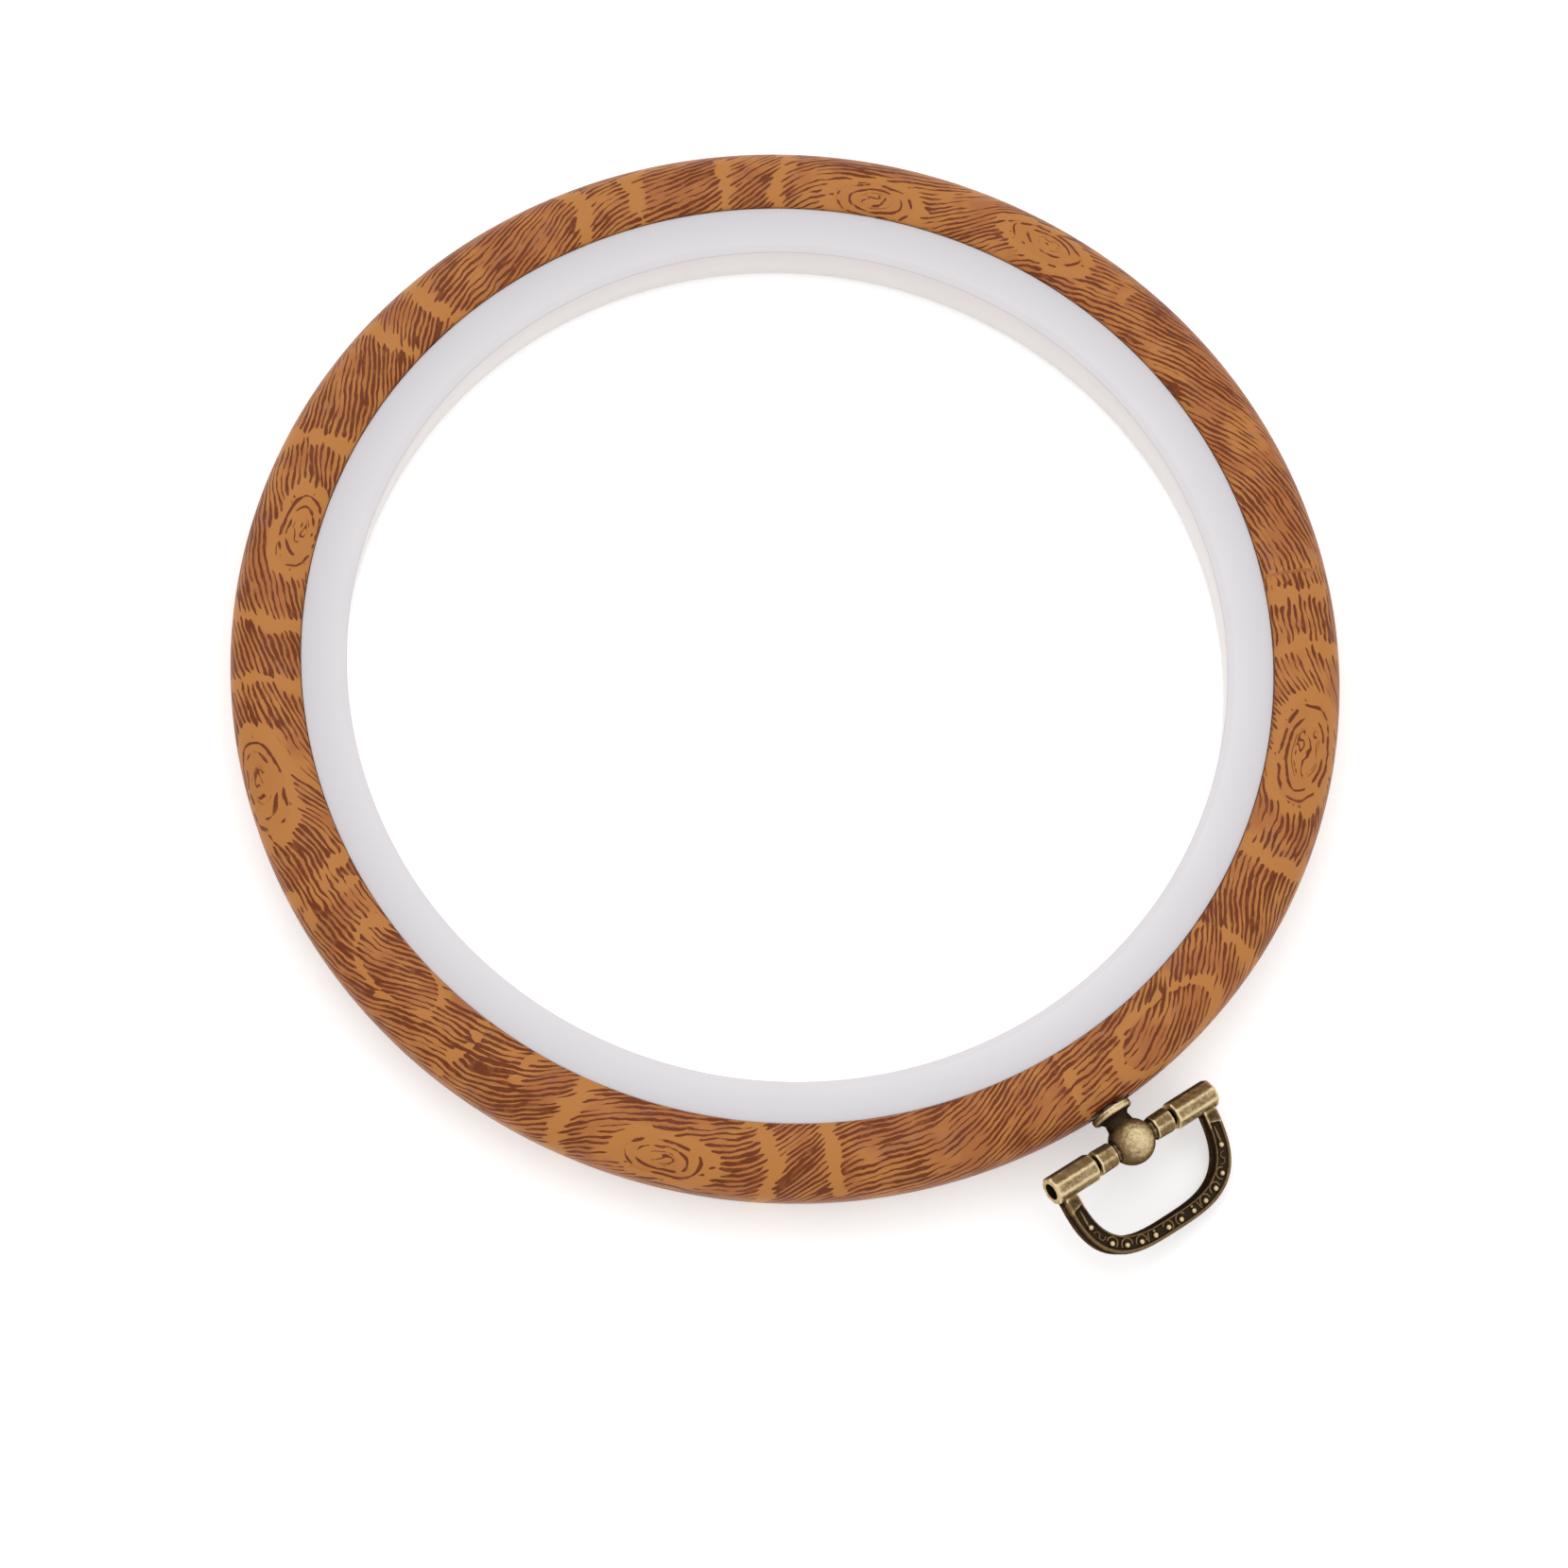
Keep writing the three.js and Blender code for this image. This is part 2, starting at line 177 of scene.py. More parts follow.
class HangerSettings(bpy.types.PropertyGroup):
    """Post, pin and bail of the cast hanger."""

    flange_radius: length("Flange Radius", "Radius of the flange on the ring", 2.5)
    flange_thickness: length("Flange Thickness", "Thickness of the flange", 0.9)
    neck_radius: length("Neck Radius", "Radius of the neck at its thinnest", 1.5)
    neck_length: length("Neck Length", "From the flange to the ball", 0.8)
    ball_radius: length("Ball Radius", "Radius of the ball", 2.7)
    stub_across: length("Stub Across", "Across the flats of the stubs", 2.9)
    stub_length: length("Stub Length", "From the ball to the stub's end", 2.7)
    bore_radius: length("Bore Radius", "Bore for the hinge pin", 0.95)
    screw_bore_radius: length("Screw Bore Radius", "Bore for the screw", 1.15)
    screw_bore_depth: length("Screw Bore Depth", "Depth of that bore in the post", 2.6)
    seat_depth: length("Seat Depth", "Depth of the flange's seat, and the gap round it", 0.3)
    pocket_radius: length("Pocket Radius", "Radius of the pocket for the screw's head", 2.5)
    pocket_depth: length("Pocket Depth", "Depth of that pocket", 2.6)
    barrel_gap: length("Barrel Gap", "Gap between a stub and its barrel", 0.5)
    barrel_length: length("Barrel Length", "Length of each barrel", 5.9)
    barrel_across: length("Barrel Across", "Across the flats of the barrels", 3.2)
    bail_half_width: length("Bail Half Width", "Half of the bail's width", 11.3)
    bail_reach: length("Bail Reach", "From the pin to the bail's outer edge", 11.38)
    bail_band: length("Bail Band", "Width of the bail's band", 1.9)
    bail_thickness: length("Bail Thickness", "Thickness of the bail's band", 2.0)
    bail_squareness: amount("Bail Squareness", "Exponent of the bail's outline", 3.2)
    bail_droop: angle("Bail Droop", "How far the bail hangs below the post", 20.35)
    collar: length("Collar", "Plain stretch of the bail beside each barrel", 1.7)
    channel_depth: length("Channel Depth", "Depth of the channel in the bail's front", 0.35)
    outer_rim: length("Outer Rim", "Width of the rounded rim outside the channel", 0.46)
    inner_rim: length("Inner Rim", "Width of the fine rim inside the channel", 0.2)
    bead_radius: length("Bead Radius", "Radius of the beads in the channel", 0.36)
    wire_radius: length("Wire Radius", "Radius of the curls round the beads", 0.105)
    bead_pitch: length("Bead Pitch", "Distance between the beads", 1.9)
    grain: length("Casting Grain", "Cell size that the castings are made in", 0.08)
    # Also the painted highlight on brass that faces outward and to the front.
    bright: colour("Bright", "Brass that is rubbed bright", 222, 200, 156)
    bronze: colour("Bronze", "Brass on the plain faces", 130, 106, 72)
    # Also the painted shade in the bore for the pin.
    patina: colour("Patina", "Darkened brass in the hollows", 56, 44, 33)
    glint: colour("Glint", "Tint of the brass's reflections at a low angle", 120, 98, 64)
    steel: colour("Steel", "Pin, screw and washer", 150, 146, 140)


class StageSettings(bpy.types.PropertyGroup):
    """Floor, light and camera."""

    floor_white: amount("Floor White", "How much of the light the floor gives back", 0.9)
    floor_glow: amount("Floor Glow", "What the camera sees of the floor on top of that", 0.36)
    sky: amount("Sky", "Strength of the light from all round", 0.84)
    key: amount("Key", "Watts of the large lamp", 1.2)
    fill: amount("Fill", "Watts of the fill lamp", 0.3)
    lamp_distance: length("Lamp Distance", "From the hoop to each lamp", 900)
    lens: amount("Lens", "Focal length in mm on a 36 mm sensor", 86.8)
    camera_side: length("Camera Side", "Camera left of the ring's centre", 26.1)
    camera_below: length("Camera Below", "Camera below the ring's centre", 153.2)
    camera_height: length("Camera Height", "Camera in front of the widest plane", 415.0)
    tilt: angle("Tilt", "How far the camera looks up the photograph", 18.28)
    pan: angle("Pan", "How far the camera looks to the right", 3.51)
    roll: angle("Roll", "Turn from the photograph's upright to the hoop's", 146.1)


class Wiring:
    """Adds nodes to a tree, and wires or sets each of their inputs as it goes."""

    def __init__(self, tree):
        self.tree = tree

    def add(self, kind, inputs=None, **settings):
        """Adds one node. The keys of inputs are socket names or numbers."""
        node = self.tree.nodes.new(kind)
        for name, value in settings.items():
            setattr(node, name, value)
        self.fill(node, inputs or {})
        return node

    def feed(self, socket, value):
        """Wires a socket to an output, or sets it to a constant."""
        if isinstance(value, bpy.types.NodeSocket):
            self.tree.links.new(value, socket)
        elif socket.type == "RGBA":
            socket.default_value = opaque(value)
        else:
            socket.default_value = value

    def fill(self, node, inputs):
        """Wires or sets several inputs of a node."""
        for key, value in inputs.items():
            self.feed(node.inputs[key], value)

    def math(self, operation, *values, clamp=False):
        """One sum on numbers."""
        inputs = dict(enumerate(values))
        return self.add("ShaderNodeMath", inputs, operation=operation, use_clamp=clamp).outputs[0]

    def plus(self, one, other):
        """Two numbers added."""
        return self.math("ADD", one, other)

    def minus(self, one, other):
        """A number less another."""
        return self.math("SUBTRACT", one, other)

    def times(self, one, other):
        """Two numbers multiplied."""
        return self.math("MULTIPLY", one, other)

    def scaled(self, value, factor, shift):
        """A number times a factor, with a shift added."""
        return self.math("MULTIPLY_ADD", value, factor, shift)

    def stretched(self, vector, factors):
        """A vector with each of its numbers multiplied by its own factor."""
        inputs = {0: vector, 1: factors}
        return self.add("ShaderNodeVectorMath", inputs, operation="MULTIPLY").outputs[0]

    def join(self, x, y, z):
        """A vector from three numbers."""
        return self.add("ShaderNodeCombineXYZ", {0: x, 1: y, 2: z}).outputs[0]

    def split(self, vector):
        """The three numbers of a vector."""
        return self.add("ShaderNodeSeparateXYZ", {0: vector}).outputs

    def noise(self, vector, scale, detail=2.0, roughness=0.5):
        """Noise from 0 to 1, mostly near a half. A scale of three numbers stretches it."""
        if isinstance(scale, tuple):
            vector = self.stretched(vector, scale)
            scale = 1.0
        inputs = {"Vector": vector, "Scale": scale, "Detail": detail, "Roughness": roughness}
        return self.add("ShaderNodeTexNoise", inputs).outputs[0]

    def span(self, value, low, high, to_low=0.0, to_high=1.0):
        """Takes a number from one span to another with soft ends."""
        inputs = {0: value, 1: low, 2: high, 3: to_low, 4: to_high}
        kind = "ShaderNodeMapRange"
        return self.add(kind, inputs, interpolation_type="SMOOTHSTEP").outputs[0]

    def choose(self, share, first, second):
        """Mixes two numbers."""
        return self.add("ShaderNodeMix", {0: share, 2: first, 3: second}).outputs[0]

    def blend(self, share, first, second):
        """Mixes two colours."""
        inputs = {0: share, 6: first, 7: second}
        return self.add("ShaderNodeMix", inputs, data_type="RGBA").outputs[2]

    def stored(self, name, output="Fac"):
        """A value that is stored on the mesh's points."""
        return self.add("ShaderNodeAttribute", attribute_name=name).outputs[output]

    def relief(self, strength, depth, height):
        """The normal of a surface with fine relief, whose height is given at each spot."""
        inputs = {"Strength": strength, "Distance": depth, "Height": height}
        return self.add("ShaderNodeBump", inputs).outputs[0]

    def sweep(self, curve, profile):
        """A rod that follows a curve, closed at both ends."""
        inputs = {"Curve": curve, "Profile Curve": profile, "Fill Caps": True}
        return self.add("GeometryNodeCurveToMesh", inputs)

    def put_out(self, shape, material):
        """Gives a geometry tree's shape its material, and ends the tree."""
        inputs = {"Geometry": shape.outputs[0], "Material": material}
        painted = self.add("GeometryNodeSetMaterial", inputs)
        self.add("NodeGroupOutput", {0: painted.outputs[0]})


def opaque(value):
    """A colour with full alpha."""
    return (*value, 1.0)


def shaded(value, share):
    """A colour darkened to a share of itself."""
    return tuple(part * share for part in value)


def new_material(name, shown):
    """A material, the wiring of its nodes and its surface shader."""
    material = bpy.data.materials.new(name)
    material.use_nodes = True
    material.diffuse_color = opaque(shown)
    return material, Wiring(material.node_tree), material.node_tree.nodes["Principled BSDF"]


def object_millimetres(wire):
    """Object coordinates in millimetres."""
    place = wire.add("ShaderNodeTexCoord").outputs["Object"]
    return wire.stretched(place, (1 / MM, 1 / MM, 1 / MM))


def new_object(name, mesh):
    """An object that shows a mesh, linked to the scene."""
    piece = bpy.data.objects.new(name, mesh)
    bpy.context.scene.collection.objects.link(piece)
    return piece


def plain_mesh(piece):
    """Turns the result of an object's modifiers into its mesh, and removes the modifiers."""
    bpy.context.view_layer.update()
    shape = piece.evaluated_get(bpy.context.evaluated_depsgraph_get())
    mesh = bpy.data.meshes.new_from_object(shape)
    piece.modifiers.clear()
    piece.data = mesh
    return mesh


def mesh_from(shape, name):
    """A mesh from a finished bmesh, which is let go."""
    mesh = bpy.data.meshes.new(name)
    shape.to_mesh(mesh)
    shape.free()
    return mesh


def face_outward(mesh):
    """Makes every face of a closed mesh point outwards."""
    shape = bmesh.new()
    shape.from_mesh(mesh)
    bmesh.ops.recalc_face_normals(shape, faces=shape.faces)
    if shape.calc_volume(signed=True) < 0:
        bmesh.ops.reverse_faces(shape, faces=shape.faces)
    shape.to_mesh(mesh)
    shape.free()


def smooth(mesh, degrees):
    """Shades a mesh smooth, apart from edges sharper than an angle."""
    mesh.shade_smooth()
    mesh.set_sharp_from_angle(angle=math.radians(degrees))


def set_inputs(modifier, values):
    """Sets a modifier's named inputs by their socket identifiers."""
    for item in modifier.node_group.interface.items_tree:
        if item.in_out == "INPUT" and item.name in values:
            modifier[item.identifier] = values[item.name]


def arc(centre, half, start, end, steps):
    """Points of part of an ellipse, from one angle to another in degrees."""
    turns = np.radians(np.linspace(start, end, steps + 1))
    return [(centre[0] + half[0] * math.cos(t), centre[1] + half[1] * math.sin(t)) for t in turns]


def straight(start, end, steps):
    """Points after the first one along a straight line, the last one left out."""
    shares = np.linspace(0, 1, steps + 1)[1:-1]
    return [tuple(np.array(start) + (np.array(end) - np.array(start)) * s) for s in shares]


def rounded(corners, radius, steps):
    """A closed outline with each corner rounded, from its corner points."""
    points = []
    for index, corner in enumerate(corners):
        here = Vector(corner)
        before = Vector(corners[index - 1]) - here
        after = Vector(corners[(index + 1) % len(corners)]) - here
        reach = min(radius, before.length * 0.45, after.length * 0.45)
        start = here + before.normalized() * reach
        end = here + after.normalized() * reach
        for step in range(steps + 1):
            share = step / steps
            bend = start * (1 - share) ** 2 + here * 2 * share * (1 - share) + end * share ** 2
            points.append(tuple(bend))
    return points


def new_tree(name, inputs):
    """The wiring of a new geometry tree that puts out a shape, and the sockets of its inputs."""
    tree = bpy.data.node_groups.new(name, "GeometryNodeTree")
    for label, kind in inputs.items():
        tree.interface.new_socket(label, in_out="INPUT", socket_type="NodeSocket" + kind)
    tree.interface.new_socket("Shape", in_out="OUTPUT", socket_type="NodeSocketGeometry")
    wire = Wiring(tree)
    return wire, wire.add("NodeGroupInput").outputs


def swept_ring_tree(name, material):
    """Tree that carries a closed section round a circle."""
    wire, given = new_tree(name, {
        "Section": "Geometry", "Ring Radius": "Float", "Segments": "Int", "Ring Centre": "Vector",
    })
    section = wire.add("GeometryNodeMeshToCurve", {0: given["Section"]})
    circle = wire.add(
        "GeometryNodeCurvePrimitiveCircle",
        {"Resolution": given["Segments"], "Radius": given["Ring Radius"]},
    )
    upright = wire.add("GeometryNodeSetCurveNormal", {0: circle.outputs[0]}, mode="Z_UP")
    sweep = wire.add(
        "GeometryNodeCurveToMesh",
        {"Curve": upright.outputs[0], "Profile Curve": section.outputs[0]},
    )
    moved = wire.add(
        "GeometryNodeTransform", {0: sweep.outputs[0], "Translation": given["Ring Centre"]},
    )
    real = wire.add("GeometryNodeRealizeInstances", {0: moved.outputs[0]})
    wire.put_out(real, material)
    return wire.tree


def swept_ring(name, section, segments, material):
    """A ring with the section, which is a closed list of radius and height, as a plain mesh."""
    outline = bpy.data.meshes.new(name + "_section")
    points = [(radius - RING_RADIUS, -height, 0) for radius, height in section]
    links = [(index, (index + 1) % len(points)) for index in range(len(points))]
    outline.from_pydata(points, links, [])
    piece = new_object(name, outline)
    sweep = piece.modifiers.new("Swept Ring", "NODES")
    sweep.node_group = swept_ring_tree(name + " sweep", material)
    set_inputs(sweep, {
        "Ring Radius": RING_RADIUS, "Segments": segments, "Ring Centre": RING_CENTRE,
    })
    face_outward(plain_mesh(piece))
    return piece


def cylinder(name, radius, start, end, axis):
    """A cylinder for cuts, between two places along an axis from the origin."""
    shape = bmesh.new()
    bmesh.ops.create_cone(
        shape, cap_ends=True, segments=64, radius1=radius, radius2=radius, depth=end - start,
    )
    turn = FRONT.rotation_difference(axis).to_matrix().to_4x4()
    shape.transform(Matrix.Translation(axis * (start + end) / 2) @ turn)
    return new_object(name, mesh_from(shape, name))


def one_finish(mesh, material):
    """Gives every face of a mesh the same material."""
    mesh.materials.clear()
    mesh.materials.append(material)
    mesh.polygons.foreach_set("material_index", np.zeros(len(mesh.polygons), np.int32))


def cut(piece, cutters, material):
    """Cuts closed shapes out of a piece, and removes the shapes."""
    for cutter in cutters:
        step = piece.modifiers.new("Cut", "BOOLEAN")
        step.operation = "DIFFERENCE"
        step.solver = "MANIFOLD"
        step.object = cutter
    mesh = plain_mesh(piece)
    for cutter in cutters:
        bpy.data.objects.remove(cutter)
    one_finish(mesh, material)
    return mesh


def coordinates(mesh):
    """The mesh's points as rows of three numbers."""
    flat = np.empty(len(mesh.vertices) * 3)
    mesh.vertices.foreach_get("co", flat)
    return flat.reshape(-1, 3)


def store_numbers(mesh, name, values):
    """Stores a number on each of the mesh's points, for its material."""
    store = mesh.attributes.new(name, "FLOAT", "POINT")
    store.data.foreach_set("value", np.asarray(values, np.float32))


def ramp(value, width):
    """Rises from 0 to 1 while the value goes from nothing to the width."""
    return np.clip(value / width, 0, 1)


def outer_section(sizes, gap):
    """Section of the vinyl ring, round from the crest out over the widest plane and the back."""
    crest = RING_RADIUS - sizes.crown_width
    bore = crest - sizes.lip_width
    ledge = INNER_RADIUS + gap - sizes.ledge_width
    top = sizes.widest_height + sizes.crown_height
    crown = arc((crest, sizes.widest_height), (sizes.crown_width, sizes.crown_height), 90, 0, 16)
    back_centre = (RING_RADIUS - sizes.back_round, sizes.widest_height)
    back = arc(back_centre, (sizes.back_round, sizes.widest_height), 0, -90, 14)
    lips = arc((crest, top - sizes.lip_fall), (sizes.lip_width, sizes.lip_fall), 180, 90, 12)
    seat = [(ledge, 0), (ledge, sizes.ledge_thickness), (bore, sizes.ledge_thickness)]
    under_lip = (bore, lips[0][1] - 0.6 * MM)
    points = crown + back[1:] + straight(back[-1], seat[0], 12) + [seat[0]]
    points += straight(seat[0], seat[1], 2) + [seat[1]] + straight(seat[1], seat[2], 4) + [seat[2]]
    return points + straight(seat[2], under_lip, 9) + [under_lip] + lips[:-1]


def across_section(section, spots):
    """How far each spot lies round the section from its first point, in millimetres.

    The count breaks inside the bore, where it is hidden. From there over the lip to the first
    point it is negative.
    """
    lip_stretch = 7.5 * MM
    corners = np.array(section + section[:1])
    steps = np.diff(corners, axis=0)
    lengths = np.hypot(*steps.T)
    starts = np.concatenate([[0], np.cumsum(lengths)[:-1]])
    best = np.full(len(spots), 1e9)
    place = np.zeros(len(spots))
    for corner, step, size, start in zip(corners, steps, lengths, starts):
        share = np.clip(((spots - corner) @ step) / size ** 2, 0, 1)
        away = np.hypot(*(spots - corner - share[:, None] * step).T)
        nearer = away < best
        best[nearer] = away[nearer]
        place[nearer] = (start + share * size)[nearer]
    place[place > lengths.sum() - lip_stretch] -= lengths.sum()
    return place / MM


def print_grain(mesh, section, sizes):
    """Stores the flow of the printed grain and its growth rings on the ring's points.

    growth is the distance from the nearest knot, counted along the ring so that it comes to
    knot_ring at the clear ring, slope is how fast it grows over the surface, and arcs is one
    where the clear arcs show. Across the ring growth levels off at the band's edge, so that arcs
    cross the band, and goes on at the ring's other side. The lines lean across the ring, break at
    the film's seam and part round each knot whose arcs show right from its heart.
    """
    # In mm: where growth levels off, where it goes on, and how softly the rings of two knots join.
    band = 5.0
    other_side = 7.5
    soft_join = 0.9
    spots = coordinates(mesh) - np.array(RING_CENTRE)
    turn = np.arctan2(spots[:, 1], spots[:, 0])
    reach = np.hypot(spots[:, 0], spots[:, 1])
    across = across_section(section, np.stack([reach, spots[:, 2]], 1))
    crest = section[0][0] / MM
    crowd = np.zeros(len(spots))
    pull = np.zeros((2, len(spots)))
    arcs = np.zeros(len(spots))
    flow = across + sizes.lean * crest * ((turn - sizes.seam) % (2 * math.pi))
    for degrees, place, ring, arcs_start, arcs_end in KNOTS:
        along = ((turn - math.radians(degrees) + math.pi) % (2 * math.pi) - math.pi) * crest
        side = across - place
        bent = band * np.tanh(side / band) / np.hypot(1, along / 9.0)
        bent += np.sign(side) * np.clip(np.abs(side) - other_side, 0, None)
        distance = np.hypot(0.92 * along, 2.1 * bent) + 0.01
        weight = np.exp(-(distance + sizes.knot_ring - ring) / soft_join)
        crowd += weight
        pull += weight * np.stack([0.85 * along, 4.41 * bent]) / distance
        fade_in = ramp(distance - arcs_start, 0.8) if arcs_start else 1.0
        arcs = np.maximum(arcs, fade_in * ramp(arcs_end - distance, 2.5))
        if not arcs_start:
            half = 0.37 * ring * np.clip(1 - (along / (1.05 * ring)) ** 2, 0, 1)
            flow += np.sign(side) * (np.hypot(side, half) - np.abs(side))
    growth = -soft_join * np.log(crowd)
    slope = np.hypot(*(pull / crowd))
    grain = np.stack([crest * np.cos(turn), crest * np.sin(turn), flow], 1)
    store = mesh.attributes.new("grain", "FLOAT_VECTOR", "POINT")
    store.data.foreach_set("vector", grain.astype(np.float32).ravel())
    for name, values in (("growth", growth), ("slope", slope), ("arcs", arcs), ("across", across)):
        store_numbers(mesh, name, values)


def grain_lines(wire, lanes, uneven_spot, room, ink_amount):
    """Mask of printed lines in lanes that swell, thin out, join and break.

    lanes counts them, room is the distance in millimetres to where they end, and more ink_amount
    makes them wider and closes their breaks.
    """
    wave = wire.math("COSINE", wire.times(lanes, 2 * math.pi))
    uneven = wire.scaled(wire.noise(uneven_spot, 1.0, 2.0, 0.7), 6.2, -3.1)
    ends = wire.scaled(wire.noise(uneven_spot, (1.5, 1.5, 1.1), 0.0), 2.2, -1.1)
    room = wire.plus(room, ends)
    limit = wire.span(room, -0.4, 0.6, -3.0, 0.35)
    limit = wire.plus(limit, wire.span(room, 0.7, 2.0, 0.0, -0.35))
    ink = wire.plus(wire.plus(wave, uneven), wire.plus(limit, ink_amount))
    return wire.span(ink, -0.1, 0.45)


def knot_strokes(wire, growth, slope, spot, edge):
    """Mask of the strokes inside a knot: dashed contours, and short forked strokes at its heart."""
    contours = wire.minus(growth, edge - 0.45)
    from_line = wire.math("DIVIDE", wire.math("PINGPONG", contours, 0.65), slope)
    half_line = wire.span(wire.noise(spot, 0.6, 1.0), 0.34, 0.56, -0.04, 0.2)
    dashes = wire.span(wire.minus(half_line, from_line), 0.0, 0.07)
    whorl = wire.noise(spot, (0.42, 0.42, 0.9), 1.0)
    whorl = wire.math("PINGPONG", wire.times(whorl, 4.2), 0.5)
    gaps = wire.span(wire.noise(spot, 0.6, 0.0), 0.25, 0.45, 0.0, 0.21)
    heart = wire.span(wire.minus(gaps, whorl), 0.0, 0.08)
    heart = wire.times(heart, wire.span(growth, 2.5, 2.9, 1.0, 0.0))
    at_heart = wire.math("LESS_THAN", growth, 3.0)
    return wire.choose(at_heart, dashes, heart)


def printed_ground(wire, sizes, spot, lane_spot, room, in_knot):
    """Colour of the print between its lines: ochre, browner in places, with mauve patches that are
    partly a tint of the print and partly painted sheen.
    """
    zone = wire.math("SUBTRACT", wire.span(room, 0.0, 1.5), in_knot, clamp=True)
    browner = wire.span(wire.noise(spot, 0.22, 2.0), 0.35, 0.62, 0.1, 1.0)
    where_brown = wire.math("MAXIMUM", zone, wire.times(in_knot, 0.3))
    brown = wire.times(browner, where_brown)
    ground = wire.blend(brown, sizes.ochre, sizes.tan)
    # Mauve patches of painted sheen, partly a tint of the print, between the arcs.
    mist_and_sheen = wire.noise(lane_spot, (1.6, 1.6, 0.35), 2.0)
    mist_and_sheen = wire.times(wire.span(mist_and_sheen, 0.55, 0.72, 0.0, 0.6), zone)
    return wire.blend(mist_and_sheen, ground, sizes.wash_and_sheen)


def printed_vinyl(sizes):
    """Satin vinyl with a printed wood grain: lines in lanes, broken by clear growth arcs."""
    material, wire, surface = new_material("Printed Vinyl", sizes.ochre)
    grain = wire.stored("grain", "Vector")
    around_x, around_y, flow = wire.split(grain)
    growth = wire.stored("growth")
    slope = wire.stored("slope")
    across = wire.stored("across")
    spot = wire.join(around_x, around_y, across)
    around = wire.join(around_x, around_y, 0.0)

    # Clear growth arcs, bent a little.
    bend = wire.noise(spot, 0.3, 1.0)
    growth = wire.plus(growth, wire.scaled(bend, 2.0, -1.0))
    per_ring = 1 / sizes.growth_pitch
    rings = wire.scaled(growth, per_ring, 0.5 - sizes.knot_ring * per_ring)
    to_arc = wire.math("ABSOLUTE", wire.minus(wire.math("FRACT", rings), 0.5))
    to_arc = wire.times(to_arc, sizes.growth_pitch)
    shown = wire.stored("arcs")
    room = wire.minus(to_arc, wire.scaled(shown, 1.8, -1.3))

    # Lines run along the ring, sway together, waver one by one and part round the knots.
    sway = wire.noise(around, 0.05, 0.0)
    waver = wire.noise(grain, (0.3, 0.3, 0.35), 0.0)
    ripple = wire.noise(grain, (0.9, 0.9, 0.9), 2.0)
    place = wire.scaled(sway, 11.0, wire.scaled(waver, 0.8, flow))
    place = wire.scaled(ripple, 0.36, place)
    lanes = wire.math("DIVIDE", place, sizes.lane_pitch)
    x = wire.times(around_x, 0.22)
    y = wire.times(around_y, 0.22)
    lane_spot = wire.join(x, y, wire.times(place, 1.2))
    cloud = wire.noise(spot, (0.15, 0.15, 0.25), 1.0)
    dense = wire.scaled(cloud, 3.0, -1.58)
    lines = grain_lines(wire, lanes, lane_spot, room, dense)

    # Inside the clear ring of a knot whose arcs show from its heart, its own strokes.
    knot_edge = sizes.knot_ring - 0.6
    inward = wire.minus(knot_edge, growth)
    strokes = knot_strokes(wire, growth, slope, spot, knot_edge)
    full_knot = wire.math("GREATER_THAN", shown, 0.99)
    in_knot = wire.math("GREATER_THAN", wire.times(inward, full_knot), 0.0)
    printed = wire.choose(in_knot, lines, strokes)

    ground = printed_ground(wire, sizes, spot, lane_spot, room, in_knot)
    inked = wire.span(wire.noise(spot, 0.8, 2.0), 0.25, 0.5)
    ink = wire.blend(inked, sizes.thin_ink, sizes.ink)
    painted = wire.blend(printed, ground, ink)
    skin = wire.noise(object_millimetres(wire), 5.0, 3.0)
    satin = wire.span(skin, 0.3, 0.7, 0.36, 0.46)
    height = wire.plus(wire.times(skin, 0.6), wire.times(printed, -0.25))
    wire.fill(surface, {
        "Base Color": painted, "Roughness": satin, "Specular IOR Level": 0.16,
        "Normal": wire.relief(0.35, 0.03 * MM, height),
    })
    return material


def white_plastic(sizes):
    """White plastic with faint flow marks, painted shade on the face beside the vinyl and at the
    top of its wall, painted light on the wall's back edge, and warm on its wall.
    """
    material, wire, surface = new_material("White Plastic", sizes.white)
    spot = object_millimetres(wire)
    flow = wire.noise(spot, (0.12, 0.12, 0.5), 3.0)
    inward = wire.stored("inward")
    run = wire.stored("run")
    # The face runs from painted shade beside the vinyl to plain white at the opening.
    face = wire.blend(run, sizes.lip_shade, sizes.white)
    # The wall runs from painted shade at its top to painted light at its back edge.
    wall = wire.blend(run, sizes.wall_top_shade, sizes.rim_light)
    base = wire.blend(inward, face, wall)
    mottle = wire.span(flow, 0.35, 0.7, 0.0, 0.22)
    mottle = wire.times(mottle, wire.scaled(inward, -0.8, 1.0))
    wire.fill(surface, {
        "Base Color": wire.blend(mottle, base, shaded(sizes.white, 0.9)),
        "Roughness": wire.span(flow, 0.3, 0.7, 0.29, 0.36),
        "Normal": wire.relief(0.15, 0.03 * MM, flow),
    })
    return material


